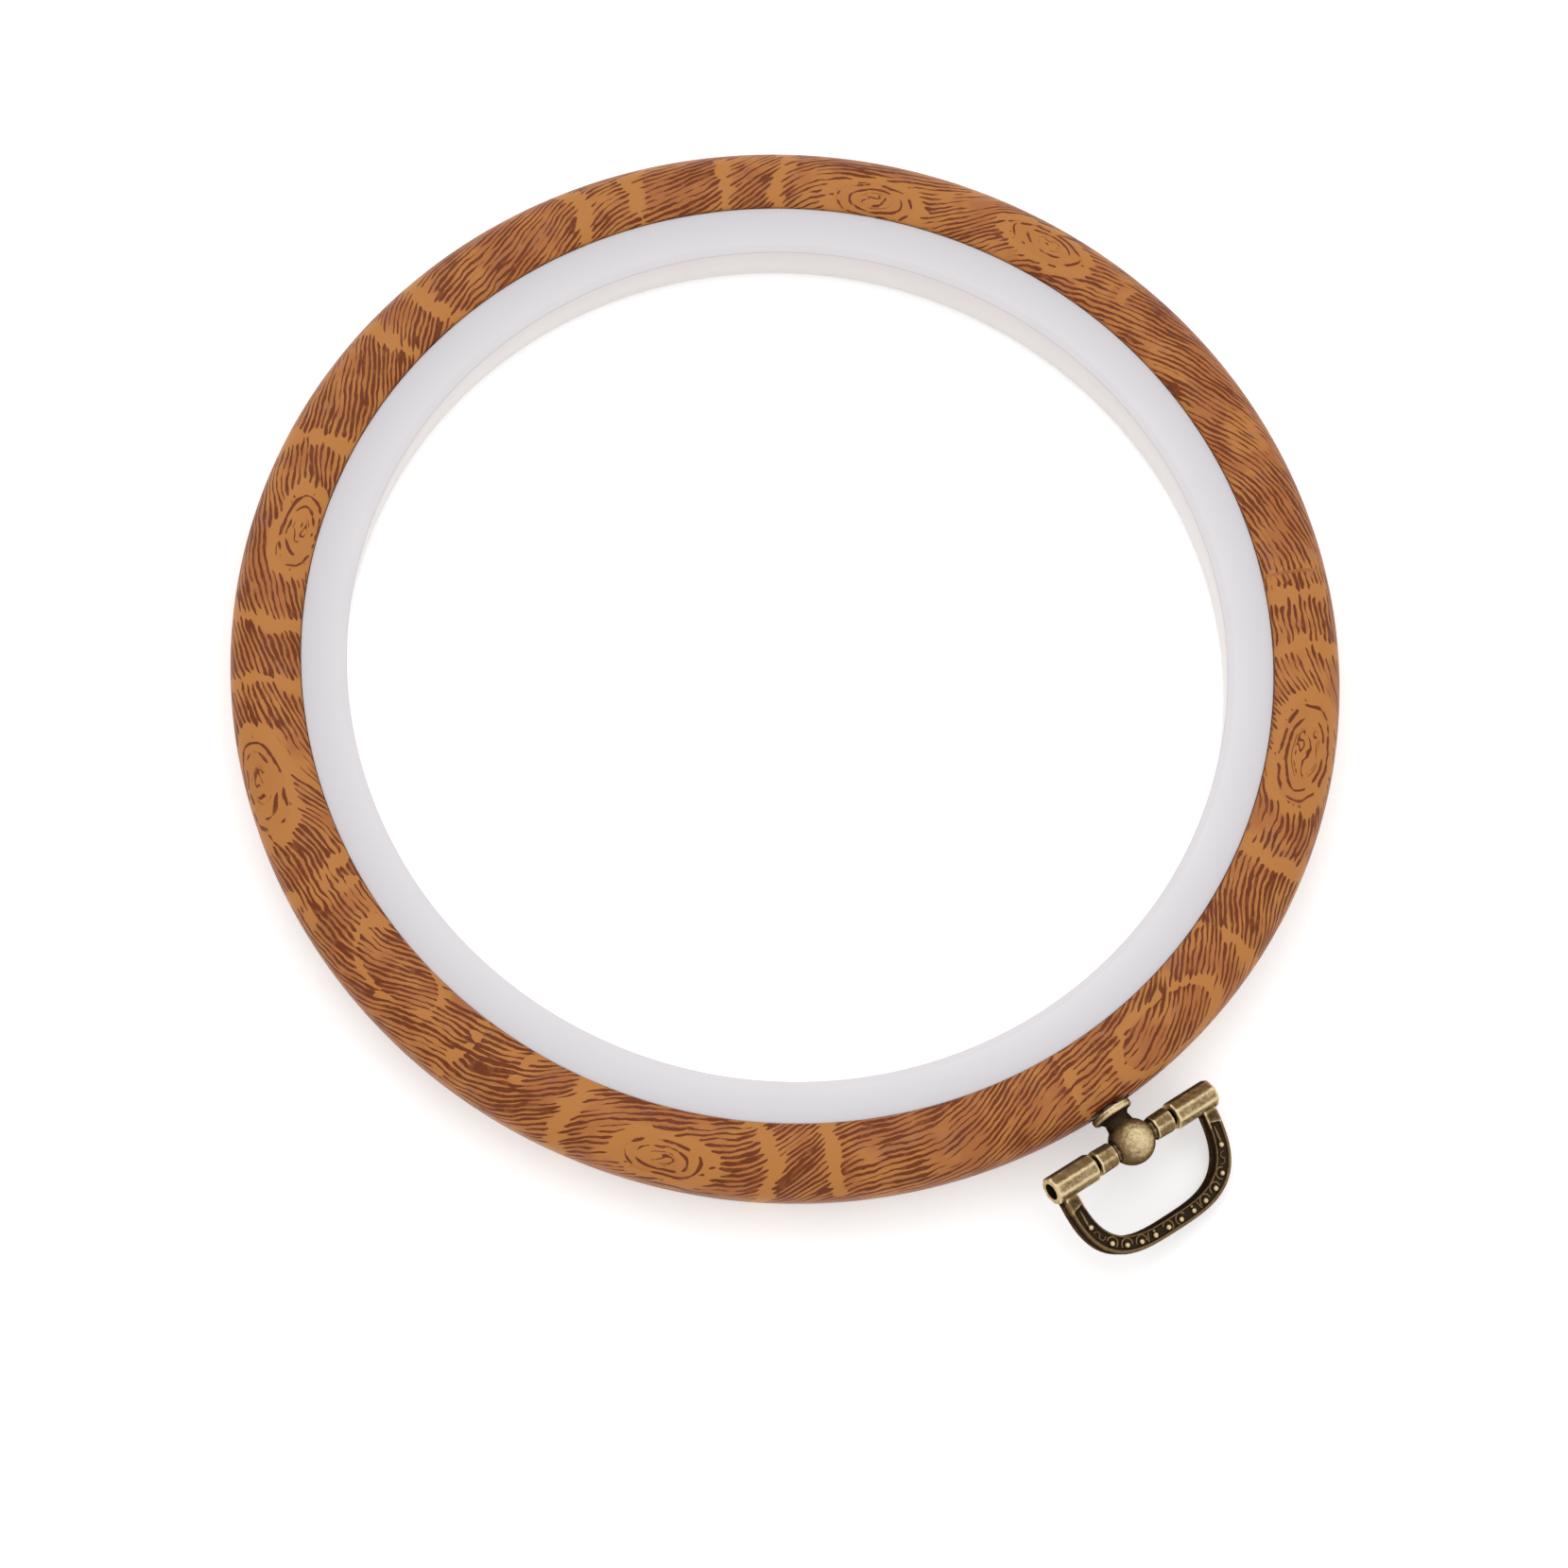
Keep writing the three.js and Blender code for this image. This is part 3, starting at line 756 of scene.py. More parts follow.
def antique_brass(sizes):
    """Plated brass, dark in its hollows and worn bright where it stands proud, with the painted
    light and shade that its stored numbers carry.
    """
    material, wire, surface = new_material("Antique Brass", sizes.bronze)
    wear_and_light = wire.stored("wear_and_light")
    spot = object_millimetres(wire)
    blotch = wire.noise(spot, 2.2, 4.0, 0.65)
    speckle = wire.noise(spot, 9.0, 2.0, 0.7)
    tone = wire.plus(wear_and_light, wire.scaled(blotch, 1.3, -0.65))
    tone = wire.plus(tone, wire.scaled(speckle, 0.8, -0.4))
    body = wire.blend(wire.span(tone, -0.95, 0.15), sizes.patina, sizes.bronze)
    # Worn bright where it stands proud, with painted highlight where it faces the front.
    rubbed_and_lit = wire.blend(wire.span(tone, 0.1, 1.0), body, sizes.bright)
    dull = wire.span(tone, -0.6, 0.8, 0.55, 0.3)
    lumps = wire.noise(spot, 0.9, 1.0)
    dents = wire.scaled(blotch, 1.2, wire.times(speckle, 0.4))
    dents = wire.scaled(lumps, 2.2, dents)
    wire.fill(surface, {
        "Base Color": rubbed_and_lit, "Roughness": dull, "Metallic": 0.95,
        "Specular Tint": sizes.glint, "Normal": wire.relief(0.6, 0.14 * MM, dents),
    })
    return material


def zinc_steel(sizes):
    """Plated steel with fine turning marks."""
    return turned_steel("Zinc Steel", sizes.steel)


def shaded_pin_steel(sizes):
    """Steel darkened with painted shade, as the pin looks deep in its bore."""
    return turned_steel("Pin Steel in Shade", shaded(sizes.steel, 0.12))


def turned_steel(name, shade):
    """Steel of any shade with fine turning marks."""
    material, wire, surface = new_material(name, shade)
    spot = object_millimetres(wire)
    marks = wire.noise(spot, (1.0, 9.0, 1.0), 3.0)
    stain = wire.noise(spot, 0.8, 2.0)
    share = wire.span(wire.plus(marks, stain), 0.8, 1.25)
    wire.fill(surface, {
        "Base Color": wire.blend(share, shaded(shade, 0.45), shade), "Metallic": 1.0,
        "Roughness": wire.span(marks, 0.3, 0.7, 0.28, 0.42),
        "Normal": wire.relief(0.2, 0.02 * MM, marks),
    })
    return material


def material_once(name, maker, sizes):
    """The named material, made the first time that it is asked for."""
    return bpy.data.materials.get(name) or maker(sizes)


class HOOP_OT_outer_ring(bpy.types.Operator):
    """Make the printed vinyl ring, with its seat and pocket for the hanger's screw"""

    bl_idname = "hoop.outer_ring"
    bl_label = "Outer Ring"

    def execute(self, context):
        sizes = context.scene.hoop_outer
        hanger = context.scene.hoop_hanger
        section = outer_section(sizes, context.scene.hoop_inner.gap)
        material = material_once("Printed Vinyl", printed_vinyl, sizes)
        piece = swept_ring("outer_ring_printed", section, sizes.segments, material)
        bore = RING_RADIUS - sizes.crown_width - sizes.lip_width
        pocket_end = bore + hanger.pocket_depth
        seat = RING_RADIUS - hanger.seat_depth
        seat_radius = hanger.flange_radius + hanger.seat_depth
        beyond = RING_RADIUS + MM
        cutters = [
            cylinder("pocket", hanger.pocket_radius, bore - 3 * MM, pocket_end, ALONG),
            cylinder("hole", hanger.screw_bore_radius, bore, beyond, ALONG),
            cylinder("seat", seat_radius, seat, beyond, ALONG),
        ]
        middle = Matrix.Translation(RING_CENTRE + sizes.widest_height * FRONT)
        for cutter in cutters:
            cutter.data.transform(middle)
        mesh = cut(piece, cutters, material)
        print_grain(mesh, section, sizes)
        smooth(mesh, 40)
        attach(piece, "outer_hoop")
        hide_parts("outer_ring")
        return {"FINISHED"}


class HOOP_OT_inner_ring(bpy.types.Operator):
    """Make the white ring, with its sloping face and the bevel round the opening"""

    bl_idname = "hoop.inner_ring"
    bl_label = "Inner Ring"

    def execute(self, context):
        outer = context.scene.hoop_outer
        sizes = context.scene.hoop_inner
        top = outer.widest_height + outer.crown_height - outer.lip_fall - sizes.face_sink
        wall = RING_RADIUS - outer.crown_width - outer.lip_width - sizes.fit
        opening = INNER_RADIUS - sizes.face_width
        step = INNER_RADIUS - outer.ledge_width
        foot = outer.ledge_thickness + sizes.gap
        bevel_top = top - sizes.face_fall
        corners = [
            (wall, top), (wall, foot), (step, foot), (step, sizes.back_height),
            (opening + sizes.draft, sizes.back_height), (opening, bevel_top - sizes.bevel_fall),
            (opening + sizes.bevel_width, bevel_top),
        ]
        section = rounded(corners, sizes.corner, 4)
        material = material_once("White Plastic", white_plastic, sizes)
        piece = swept_ring("inner_ring_white", section, outer.segments, material)
        spots = coordinates(piece.data) - np.array(RING_CENTRE)
        reach = np.hypot(spots[:, 0], spots[:, 1])
        along_face = (wall - reach) / (wall - opening)
        wall_top = bevel_top - sizes.bevel_fall
        down_wall = (wall_top - spots[:, 2]) / (wall_top - sizes.back_height)
        inward = ramp(wall_top + 0.05 * MM - spots[:, 2], 0.15 * MM)
        inward *= reach < opening + sizes.draft + 0.2 * MM
        run = np.where(inward > 0, down_wall, along_face).clip(0, 1)
        # inward and run place the painted shade and light of the white plastic.
        store_numbers(piece.data, "inward", inward)
        store_numbers(piece.data, "run", run)
        smooth(piece.data, 30)
        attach(piece, "inner_hoop")
        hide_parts("inner_ring")
        return {"FINISHED"}


def hanger_matrix():
    """From the hanger's own axes to the scene: pin along X, screw along Y."""
    front = PIN_AXIS.cross(ALONG)
    turn = Matrix((PIN_AXIS, ALONG, front)).transposed().to_4x4()
    return Matrix.Translation(PIN_CENTRE) @ turn


def bail_matrix(sizes):
    """From the bail's own axes to the scene, as the hanger's but hanging at its rest angle."""
    return hanger_matrix() @ Matrix.Rotation(-sizes.bail_droop, 4, "X")


def channel_floor(sizes):
    """Height of the channel's floor over the middle of the bail's band."""
    return sizes.bail_thickness / 2 - sizes.channel_depth


def tube_of_loops(shape, loops):
    """Joins loops of equal count with quads, and closes both ends."""
    rings = [[shape.verts.new(point) for point in loop] for loop in loops]
    for one, two in zip(rings, rings[1:]):
        for index in range(len(one)):
            after = (index + 1) % len(one)
            shape.faces.new((one[index], one[after], two[after], two[index]))
    shape.faces.new(rings[0][::-1])
    shape.faces.new(rings[-1])


def turned_shape(shape, profile, sides):
    """Adds a closed shape turned about Y, from points of radius and place with both ends on Y."""
    turns = np.linspace(0, 2 * math.pi, sides, endpoint=False)
    loops = []
    for radius, place in profile:
        loops.append([(radius * math.cos(t), place, -radius * math.sin(t)) for t in turns])
    tube_of_loops(shape, loops)


def octagon(across, corner):
    """Outline of an octagon with rounded corners, flats towards the front and back."""
    radius = across / 2 / math.cos(math.pi / 8)
    corners = []
    for index in range(8):
        turn = math.pi / 8 + index * math.pi / 4
        corners.append((radius * math.cos(turn), radius * math.sin(turn)))
    return rounded(corners, corner, 5)


def bar_shape(shape, outline, stations):
    """Adds a closed bar along X with an outline that is scaled at each station."""
    loops = []
    for place, scale in stations:
        loops.append([(place, y * scale, z * scale) for y, z in outline])
    tube_of_loops(shape, loops)


def casting(name, shape, cell):
    """Melts closed shapes that overlap into one casting with soft edges."""
    bmesh.ops.recalc_face_normals(shape, faces=shape.faces)
    piece = new_object(name, mesh_from(shape, name))
    melt = piece.modifiers.new("Melt", "REMESH")
    melt.mode = "VOXEL"
    melt.voxel_size = cell
    melt.use_smooth_shade = True
    relax = piece.modifiers.new("Relax", "SMOOTH")
    relax.factor = 0.5
    relax.iterations = 3
    plain_mesh(piece)
    return piece


def mark_wear_and_light(mesh, base, hidden):
    """Stores how bright each point is, from rubbing and from painted light and shade, in the
    hanger's own axes.

    What stands proud is worn brightest, what faces outward and to the front gets painted light,
    what faces away a little painted shade, and what is hidden, such as the pin's bore, is dark.
    """
    rounds = 24
    depth = 0.05 * MM
    most = 1.2
    rubbed_and_lit = np.array([0.0, 0.35, 0.45])
    spots = coordinates(mesh)
    count = len(spots)
    edges = np.empty(len(mesh.edges) * 2, np.int32)
    mesh.edges.foreach_get("vertices", edges)
    ends = edges.reshape(-1, 2)
    degree = np.maximum(np.bincount(edges, minlength=count), 1)
    level = spots.copy()
    for _ in range(rounds):
        total = np.zeros_like(level)
        for axis in range(3):
            total[:, axis] = np.bincount(ends[:, 0], level[ends[:, 1], axis], count)
            total[:, axis] += np.bincount(ends[:, 1], level[ends[:, 0], axis], count)
        level = 0.5 * level + 0.5 * total / degree[:, None]
    normals = np.empty(count * 3)
    mesh.vertices.foreach_get("normal", normals)
    normals = normals.reshape(-1, 3)
    proud = np.clip(1.3 * ((spots - level) * normals).sum(1) / depth, -most, most)
    # Painted light on faces turned outward and to the front, a little painted shade on faces turned
    # away.
    facing = np.clip(normals @ rubbed_and_lit, -0.1, None)
    wear_and_light = (proud + facing + base) * (1 - hidden) - hidden
    store_numbers(mesh, "wear_and_light", wear_and_light)


# Marks the bore's wall, which is darkened with painted shade.
def in_bore(spots, sizes):
    """One for points on the wall of the bore for the pin, and zero elsewhere."""
    from_axis = np.hypot(spots[:, 1], spots[:, 2])
    return ramp(sizes.bore_radius + 0.06 * MM - from_axis, 0.04 * MM)


def post_profile(sizes, inner):
    """Outline of flange, neck and ball from the flange's seat out, as radius and place."""
    ball = sizes.ball_radius
    outer = inner + sizes.flange_thickness
    rim = sizes.flange_radius
    neck = sizes.neck_radius
    soft = 0.18 * MM
    tip = 0.001 * MM
    profile = [(tip, inner), (rim - soft, inner), (rim, inner + soft), (rim, outer - soft)]
    profile += [(rim - soft, outer), (rim - 0.55 * MM, outer), (rim - 0.75 * MM, outer + soft)]
    profile += [(neck, outer + 0.45 * MM)]
    start = math.asin(neck / ball) + 0.06
    for turn in np.linspace(start, math.pi, 24):
        profile.append((max(ball * math.sin(turn), tip), -ball * math.cos(turn)))
    return profile


class HOOP_OT_hanger_post(bpy.types.Operator):
    """Make the cast post: flange, neck, ball and two eight-sided stubs"""

    bl_idname = "hoop.hanger_post"
    bl_label = "Hanger Post"

    def execute(self, context):
        sizes = context.scene.hoop_hanger
        ball = sizes.ball_radius
        inner = -(ball + sizes.neck_length + sizes.flange_thickness)
        shape = bmesh.new()
        turned_shape(shape, post_profile(sizes, inner), 96)
        flats = octagon(sizes.stub_across, 0.22 * MM)
        end = ball + sizes.stub_length
        waist = ball + 0.2 * MM
        stations = [(0.5 * MM, 0.8), (waist, 0.8), (waist + 0.12 * MM, 0.96),
                    (end - 0.12 * MM, 1.0), (end, 0.94)]
        for side in (1, -1):
            bar_shape(shape, flats, [(side * place, scale) for place, scale in stations])
        material = material_once("Antique Brass", antique_brass, sizes)
        piece = casting("hanger_post_cast", shape, sizes.grain * 0.8)
        beyond = 8 * MM
        screw_end = inner + sizes.screw_bore_depth
        bores = [
            cylinder("pin_bore", sizes.bore_radius, -beyond, beyond, ACROSS),
            cylinder("screw_bore", sizes.screw_bore_radius, inner - MM, screw_end, ALONG),
        ]
        mesh = cut(piece, bores, material)
        spots = coordinates(mesh)
        out_of_ball = np.linalg.norm(spots, axis=1) - ball
        on_flange = np.hypot(spots[:, 0], spots[:, 2]) - sizes.flange_radius + 0.4 * MM
        neck_side = ramp(-spots[:, 1] - 0.5 * ball, 0.3 * MM)
        hollow = ramp(out_of_ball, 0.1 * MM) * ramp(-on_flange, 0.2 * MM)
        # Painted light on the front of the post, the rest of it darker.
        front_light = np.clip(0.9 * spots[:, 2] / ball - 0.8, -0.58, None)
        # The neck under the flange is set dark, and the wall of the pin's bore is dark with painted
        # shade.
        mark_wear_and_light(mesh, front_light, np.maximum(hollow * neck_side, in_bore(spots, sizes)))
        mesh.transform(hanger_matrix())
        smooth(mesh, 50)
        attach(piece, "hanger")
        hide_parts("hanger_post")
        return {"FINISHED"}


def arch_line(sizes, inset, count):
    """Points of the bail's outline, set in by a distance, from its +X end to its -X end."""
    turns = np.linspace(0, math.pi, count)
    power = 2 / sizes.bail_squareness
    x = (sizes.bail_half_width - inset) * np.sign(np.cos(turns)) * np.abs(np.cos(turns)) ** power
    y = (sizes.bail_reach - inset) * np.sin(turns).clip(0) ** power
    return np.stack([x, y], 1)


def arch_shape(shape, sizes):
    """Adds the bail's band, with the channel in its front between the two rims."""
    count = 260
    outer = arch_line(sizes, 0, count)
    inner = arch_line(sizes, sizes.bail_band, count)
    half = sizes.bail_thickness / 2
    wide = sizes.outer_rim / sizes.bail_band
    fine = 1 - sizes.inner_rim / sizes.bail_band
    soft = 0.2 * MM
    bevel = soft / sizes.bail_band
    inside_barrel = 1.15 * MM
    channel_start = sizes.barrel_across / 2 + sizes.collar
    loops = []
    for start, end in zip(outer, inner):
        if start[1] < inside_barrel:
            continue
        depth = sizes.channel_depth * float(ramp(start[1] - channel_start, 0.15 * MM))
        floor = half - depth
        worn = 0.06 * MM if depth else 0
        outline = [(0, -half + soft), (0, half - 0.4 * MM), (0.06, half - 0.14 * MM)]
        outline += [(0.14, half - worn), (wide - 0.02, half - worn), (wide, half - 2 * worn)]
        outline += [(wide + 0.04, floor), (0.5, floor), (fine - 0.04, floor), (fine, half - worn)]
        outline += [(fine + 0.02, half), (0.97, half), (1, half - 0.1 * MM), (1, -half + soft)]
        outline += [(1 - bevel, -half), (bevel, -half)]
        loop = []
        for share, height in outline:
            x, y = start + (end - start) * share
            loop.append((x, y, height))
        loops.append(loop)
    tube_of_loops(shape, loops)


class HOOP_OT_bail(bpy.types.Operator):
    """Make the cast bail: the D-shaped band and its two eight-sided barrels"""

    bl_idname = "hoop.bail"
    bl_label = "Bail"

    def execute(self, context):
        sizes = context.scene.hoop_hanger
        start = sizes.ball_radius + sizes.stub_length + sizes.barrel_gap
        end = start + sizes.barrel_length
        shape = bmesh.new()
        arch_shape(shape, sizes)
        flats = octagon(sizes.barrel_across, 0.2 * MM)
        stations = [(start, 0.93), (start + 0.13 * MM, 1.0), (end - 0.13 * MM, 1.0), (end, 0.93)]
        for side in (1, -1):
            bar_shape(shape, flats, [(side * place, scale) for place, scale in stations])
        material = material_once("Antique Brass", antique_brass, sizes)
        piece = casting("bail_cast", shape, sizes.grain)
        beyond = 15 * MM
        bore = cylinder("bore", sizes.bore_radius, -beyond, beyond, ACROSS)
        mesh = cut(piece, [bore], material)
        spots = coordinates(mesh)
        soft = 0.3 * MM
        on_band = ramp(spots[:, 1] - sizes.barrel_across / 2, soft)
        rims = ramp(spots[:, 1] - sizes.barrel_across / 2 - sizes.collar, soft)
        at_front = ramp(spots[:, 2], soft)
        base = -0.14 - on_band * (0.49 + 0.4 * at_front) - 0.75 * rims * at_front
        # The wall of the pin's bore is dark with painted shade.
        mark_wear_and_light(mesh, base, in_bore(spots, sizes))
        mesh.transform(bail_matrix(sizes))
        smooth(mesh, 50)
        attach(piece, "bail")
        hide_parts("bail")
        return {"FINISHED"}


# Kinds of ornament in the bail's channel.
BEAD, CURL, BAR, DROP = 0, 1, 2, 3


def ornament_layout(sizes):
    """Places along the channel: kind, distance from the middle, offset outward, turn and size."""
    pitch = sizes.bead_pitch
    rows = []
    for side in (1, -1):
        for index in range(5):
            along = side * pitch * (index + 0.5)
            rows.append((BEAD, along, 0.16 * MM, 0.0, 1.0))
            if index == 1:
                rows.append((BEAD, along, -0.4 * MM, 0.0, 0.6))
            else:
                lean = (0.7, 0.0, 0.0, -0.25, 0.3)[index] * side
                rows.append((CURL, along, 0.06 * MM, lean, 1.0))
        rows.append((BAR, side * pitch * 2, 0.0, side * 0.25, 1.0))
        rows.append((CURL, side * pitch * 5.25, -0.12 * MM, math.pi * 0.9 * side, 0.6))
        rows.append((CURL, side * pitch * 5.6, 0.18 * MM, 0.15 * side, 0.6))
        rows.append((BEAD, side * pitch * 6.2, 0.0, 0.0, 1.0))
        rows.append((DROP, side * pitch * 6.75, -0.05 * MM, 0.12 * side, 1.0))
    return rows


def ornament_points(sizes):
    """A mesh of loose points in the bail's own plane, with each ornament's kind, turn and size."""
    middle = (sizes.outer_rim + sizes.bail_band - sizes.inner_rim) / 2
    line = arch_line(sizes, middle, 1200)
    steps = np.hypot(*np.diff(line, axis=0).T)
    travelled = np.concatenate([[0], np.cumsum(steps)]) - steps.sum() / 2
    step = 0.05 * MM
    raised = 0.05 * MM

    def spot_at(way):
        """The place at a distance from the middle of the line."""
        return np.array([np.interp(way, travelled, numbers) for numbers in line.T])

    rows = ornament_layout(sizes)
    places = []
    turns = []
    for _, along, outward, turn, _ in rows:
        here = spot_at(along)
        ahead = spot_at(along + step) - here
        heading = math.atan2(ahead[1], ahead[0])
        x, y = here + outward * np.array([math.sin(heading), -math.cos(heading)])
        places.append((x, y, channel_floor(sizes) + raised))
        turns.append(heading + turn)
    mesh = bpy.data.meshes.new("ornament_points")
    mesh.from_pydata(places, [], [])
    mesh.attributes.new("kind", "INT", "POINT").data.foreach_set("value", [row[0] for row in rows])
    store_numbers(mesh, "turn", turns)
    store_numbers(mesh, "size", [row[4] for row in rows])
    return mesh


def ornament_tree(material):
    """Tree that sets a bead, curl, bar or drop on each point by its kind."""
    wire, given = new_tree("Channel Ornament", {
        "Points": "Geometry", "Bead Radius": "Float", "Wire Radius": "Float",
        "Curl Radius": "Float", "Bar Length": "Float", "Drop Length": "Float",
    })

    def stored(name, kind):
        """A named attribute of the points."""
        return wire.add("GeometryNodeInputNamedAttribute", {0: name}, data_type=kind).outputs[0]

    profile = wire.add(
        "GeometryNodeCurvePrimitiveCircle", {"Resolution": 10, "Radius": given["Wire Radius"]},
    )
    bead = wire.add(
        "GeometryNodeMeshIcoSphere", {"Radius": given["Bead Radius"], "Subdivisions": 3},
    )
    half_turn = wire.add(
        "GeometryNodeCurveArc",
        {"Resolution": 20, "Radius": given["Curl Radius"], "Start Angle": -0.25,
         "Sweep Angle": math.pi + 0.5},
    )
    curl = wire.sweep(half_turn.outputs[0], profile.outputs[0])
    half_bar = wire.times(given["Bar Length"], 0.5)
    back_bar = wire.times(given["Bar Length"], -0.5)
    line = wire.add(
        "GeometryNodeCurvePrimitiveLine",
        {"Start": wire.join(0.0, back_bar, 0.0), "End": wire.join(0.0, half_bar, 0.0)},
    )
    bar = wire.sweep(line.outputs[0], profile.outputs[0])
    lump = wire.add("GeometryNodeMeshIcoSphere", {"Radius": 1.0, "Subdivisions": 3})
    half_drop = wire.times(given["Drop Length"], 0.5)
    drop_width = wire.times(given["Wire Radius"], 1.5)
    drop = wire.add(
        "GeometryNodeTransform",
        {0: lump.outputs[0], "Scale": wire.join(half_drop, drop_width, given["Wire Radius"])},
    )
    facing = wire.join(0.0, 0.0, stored("turn", "FLOAT"))
    joined = wire.add("GeometryNodeJoinGeometry")
    for kind, shape in ((BEAD, bead), (CURL, curl), (BAR, bar), (DROP, drop)):
        chosen = wire.add(
            "FunctionNodeCompare", {2: stored("kind", "INT"), 3: kind},
            data_type="INT", operation="EQUAL",
        )
        placed = wire.add(
            "GeometryNodeInstanceOnPoints",
            {"Points": given["Points"], "Selection": chosen.outputs[0],
             "Instance": shape.outputs[0], "Rotation": facing, "Scale": stored("size", "FLOAT")},
        )
        wire.feed(joined.inputs[0], placed.outputs[0])
    real = wire.add("GeometryNodeRealizeInstances", {0: joined.outputs[0]})
    soft = wire.add("GeometryNodeSetShadeSmooth", {0: real.outputs[0]})
    wire.put_out(soft, material)
    return wire.tree


class HOOP_OT_bail_ornament(bpy.types.Operator):
    """Set beads, curls, bars and drops in the bail's channel"""

    bl_idname = "hoop.bail_ornament"
    bl_label = "Bail Ornament"

    def execute(self, context):
        sizes = context.scene.hoop_hanger
        material = material_once("Antique Brass", antique_brass, sizes)
        piece = new_object("bail_ornament", ornament_points(sizes))
        dress = piece.modifiers.new("Ornament", "NODES")
        dress.node_group = ornament_tree(material)
        set_inputs(dress, {
            "Bead Radius": sizes.bead_radius, "Wire Radius": sizes.wire_radius,
            "Curl Radius": sizes.bead_pitch * 0.36, "Bar Length": sizes.bail_band * 0.56,
            "Drop Length": 2.6 * MM,
        })
        mesh = plain_mesh(piece)
        if not mesh.polygons:
            raise RuntimeError("the ornament tree made no faces")
        one_finish(mesh, material)
        lift = (coordinates(mesh)[:, 2] - channel_floor(sizes)) / sizes.bead_radius
        store_numbers(mesh, "wear_and_light", np.clip(lift * 1.1 - 0.3, -1, 1))
        mesh.transform(bail_matrix(sizes))
        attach(piece, "bail")
        return {"FINISHED"}


class HOOP_OT_hardware(bpy.types.Operator):
    """Give the screw and its washer their plated steel, and the pin steel darkened with painted
    shade
    """

    bl_idname = "hoop.hardware"
    bl_label = "Pin, Screw and Washer"

    def execute(self, context):
        sizes = context.scene.hoop_hanger
        finishes = {
            # The pin is steel darkened with painted shade, as it looks in its bore.
            "hinge_pin": material_once("Pin Steel in Shade", shaded_pin_steel, sizes),
            "hanger_screw": material_once("Zinc Steel", zinc_steel, sizes),
            "screw_washer": material_once("Zinc Steel", zinc_steel, sizes),
        }
        for name, steel in finishes.items():
            for place in frame["nodes"][name].material_slots:
                place.material = steel
        return {"FINISHED"}


def lamp(name, watts, size, place):
    """A round lamp, its size across in metres, that faces the middle of the ring."""
    light = bpy.data.lights.new(name, "AREA")
    light.energy = watts
    light.shape = "DISK"
    light.size = size
    holder = new_object(name, light)
    holder.location = place
    holder.rotation_euler = (RING_CENTRE - place).to_track_quat("-Z", "Y").to_euler()


def seen_directly(wire):
    """One where the camera, a mirror or a clear piece looks at a surface, and zero elsewhere."""
    path = wire.add("ShaderNodeLightPath").outputs
    seen = wire.math("MAXIMUM", path["Is Camera Ray"], path["Is Glossy Ray"])
    return wire.math("MAXIMUM", seen, path["Is Transmission Ray"])


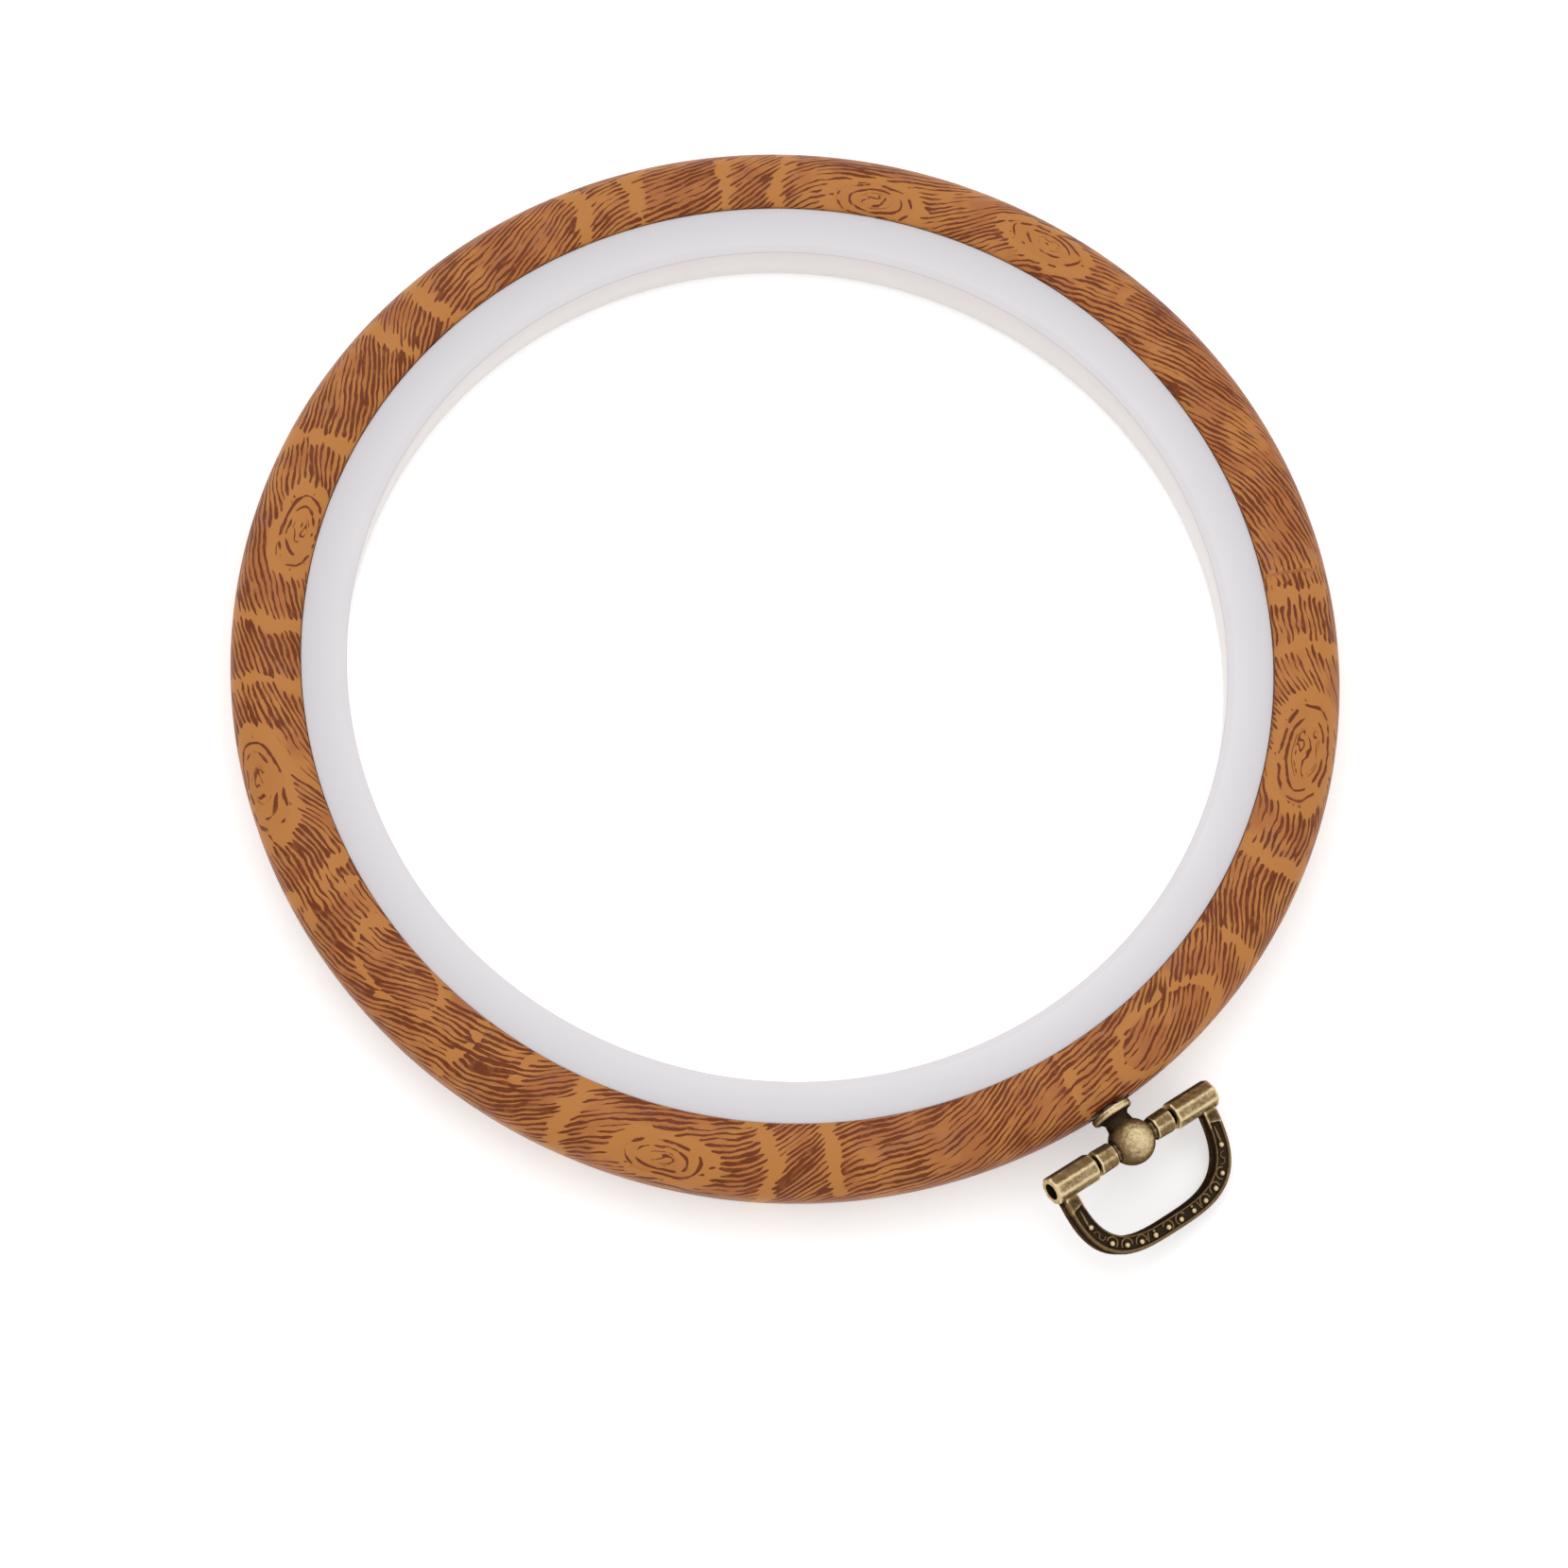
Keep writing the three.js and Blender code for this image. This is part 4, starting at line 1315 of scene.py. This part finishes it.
class HOOP_OT_stage(bpy.types.Operator):
    """Make the floor, the soft light and the camera"""

    bl_idname = "hoop.stage"
    bl_label = "Stage and Camera"

    def execute(self, context):
        look = context.scene.hoop_stage
        context.scene.view_settings.view_transform = "Standard"
        self.make_floor(look)
        self.make_world(context, look)
        upright = Matrix.Rotation(look.roll, 4, "Z")
        above = upright @ ALONG
        beside = upright @ ACROSS
        key_way = 0.45 * above - 0.2 * beside + 0.87 * FRONT
        fill_way = 0.5 * beside + 0.1 * above + 0.85 * FRONT
        lamp("key", look.key, 0.7, look.lamp_distance * key_way)
        lamp("fill", look.fill, 0.9, look.lamp_distance * fill_way)
        self.make_camera(context, look, upright)
        return {"FINISHED"}

    def make_floor(self, look):
        """A wide pale floor that keeps the hoop's shadow."""
        shape = bmesh.new()
        bmesh.ops.create_grid(shape, x_segments=1, y_segments=1, size=3.0)
        mesh = mesh_from(shape, "floor")
        white = (1, 1, 1)
        pale = shaded(white, look.floor_white)
        material, wire, surface = new_material("Floor", pale)
        glow = wire.times(seen_directly(wire), look.floor_glow)
        wire.fill(surface, {
            "Base Color": pale, "Roughness": 0.9, "Specular IOR Level": 0.0,
            "Emission Strength": glow, "Emission Color": white,
        })
        mesh.materials.append(material)
        new_object("floor", mesh)

    def make_world(self, context, look):
        """Even light from all round, and white where the camera looks past the floor."""
        world = bpy.data.worlds.new("Studio")
        world.use_nodes = True
        context.scene.world = world
        wire = Wiring(world.node_tree)
        rest = wire.times(seen_directly(wire), 1 - look.sky)
        sky = world.node_tree.nodes["Background"]
        wire.fill(sky, {"Color": (1, 1, 1), "Strength": wire.plus(rest, look.sky)})

    def make_camera(self, context, look, upright):
        """A camera at the photograph's place, fitted to the ring's edges there."""
        view = bpy.data.cameras.new("camera")
        view.lens = look.lens
        view.sensor_width = 36
        view.clip_start = 10 * MM
        holder = new_object("camera", view)
        centre = RING_CENTRE + context.scene.hoop_outer.widest_height * FRONT
        place = upright @ Vector((-look.camera_side, -look.camera_below, look.camera_height))
        tilt = Matrix.Rotation(-look.tilt, 4, "X") @ Matrix.Rotation(look.pan, 4, "Y")
        holder.matrix_world = Matrix.Translation(centre + place) @ upright @ tilt.transposed()
        context.scene.camera = holder


class HOOP_PT_panel(bpy.types.Panel):
    """Lists the hoop's pieces and their sizes"""

    bl_idname = "HOOP_PT_panel"
    bl_label = "Embroidery Hoop"
    bl_space_type = "VIEW_3D"
    bl_region_type = "UI"
    bl_category = "Hoop"

    def draw(self, context):
        for operator in OPERATORS:
            self.layout.operator(operator.bl_idname)
        for name in SETTINGS:
            group = getattr(context.scene, name)
            box = self.layout.box()
            for key in group.__annotations__:
                box.prop(group, key)


OPERATORS = (
    HOOP_OT_outer_ring, HOOP_OT_inner_ring, HOOP_OT_hanger_post, HOOP_OT_bail,
    HOOP_OT_bail_ornament, HOOP_OT_hardware, HOOP_OT_stage,
)
SETTINGS = {
    "hoop_outer": OuterRingSettings,
    "hoop_inner": InnerRingSettings,
    "hoop_hanger": HangerSettings,
    "hoop_stage": StageSettings,
}


def register():
    """Registers the settings, the operators and the panel."""
    for name, group in SETTINGS.items():
        bpy.utils.register_class(group)
        setattr(bpy.types.Scene, name, PointerProperty(type=group))
    for operator in OPERATORS:
        bpy.utils.register_class(operator)
    bpy.utils.register_class(HOOP_PT_panel)


def unregister():
    """Takes back what register did."""
    bpy.utils.unregister_class(HOOP_PT_panel)
    for operator in reversed(OPERATORS):
        bpy.utils.unregister_class(operator)
    for name, group in SETTINGS.items():
        delattr(bpy.types.Scene, name)
        bpy.utils.unregister_class(group)


def main():
    register()
    bpy.ops.hoop.outer_ring()
    bpy.ops.hoop.inner_ring()
    bpy.ops.hoop.hanger_post()
    bpy.ops.hoop.bail()
    bpy.ops.hoop.bail_ornament()
    bpy.ops.hoop.hardware()
    bpy.ops.hoop.stage()


if __name__ == "__main__":
    main()
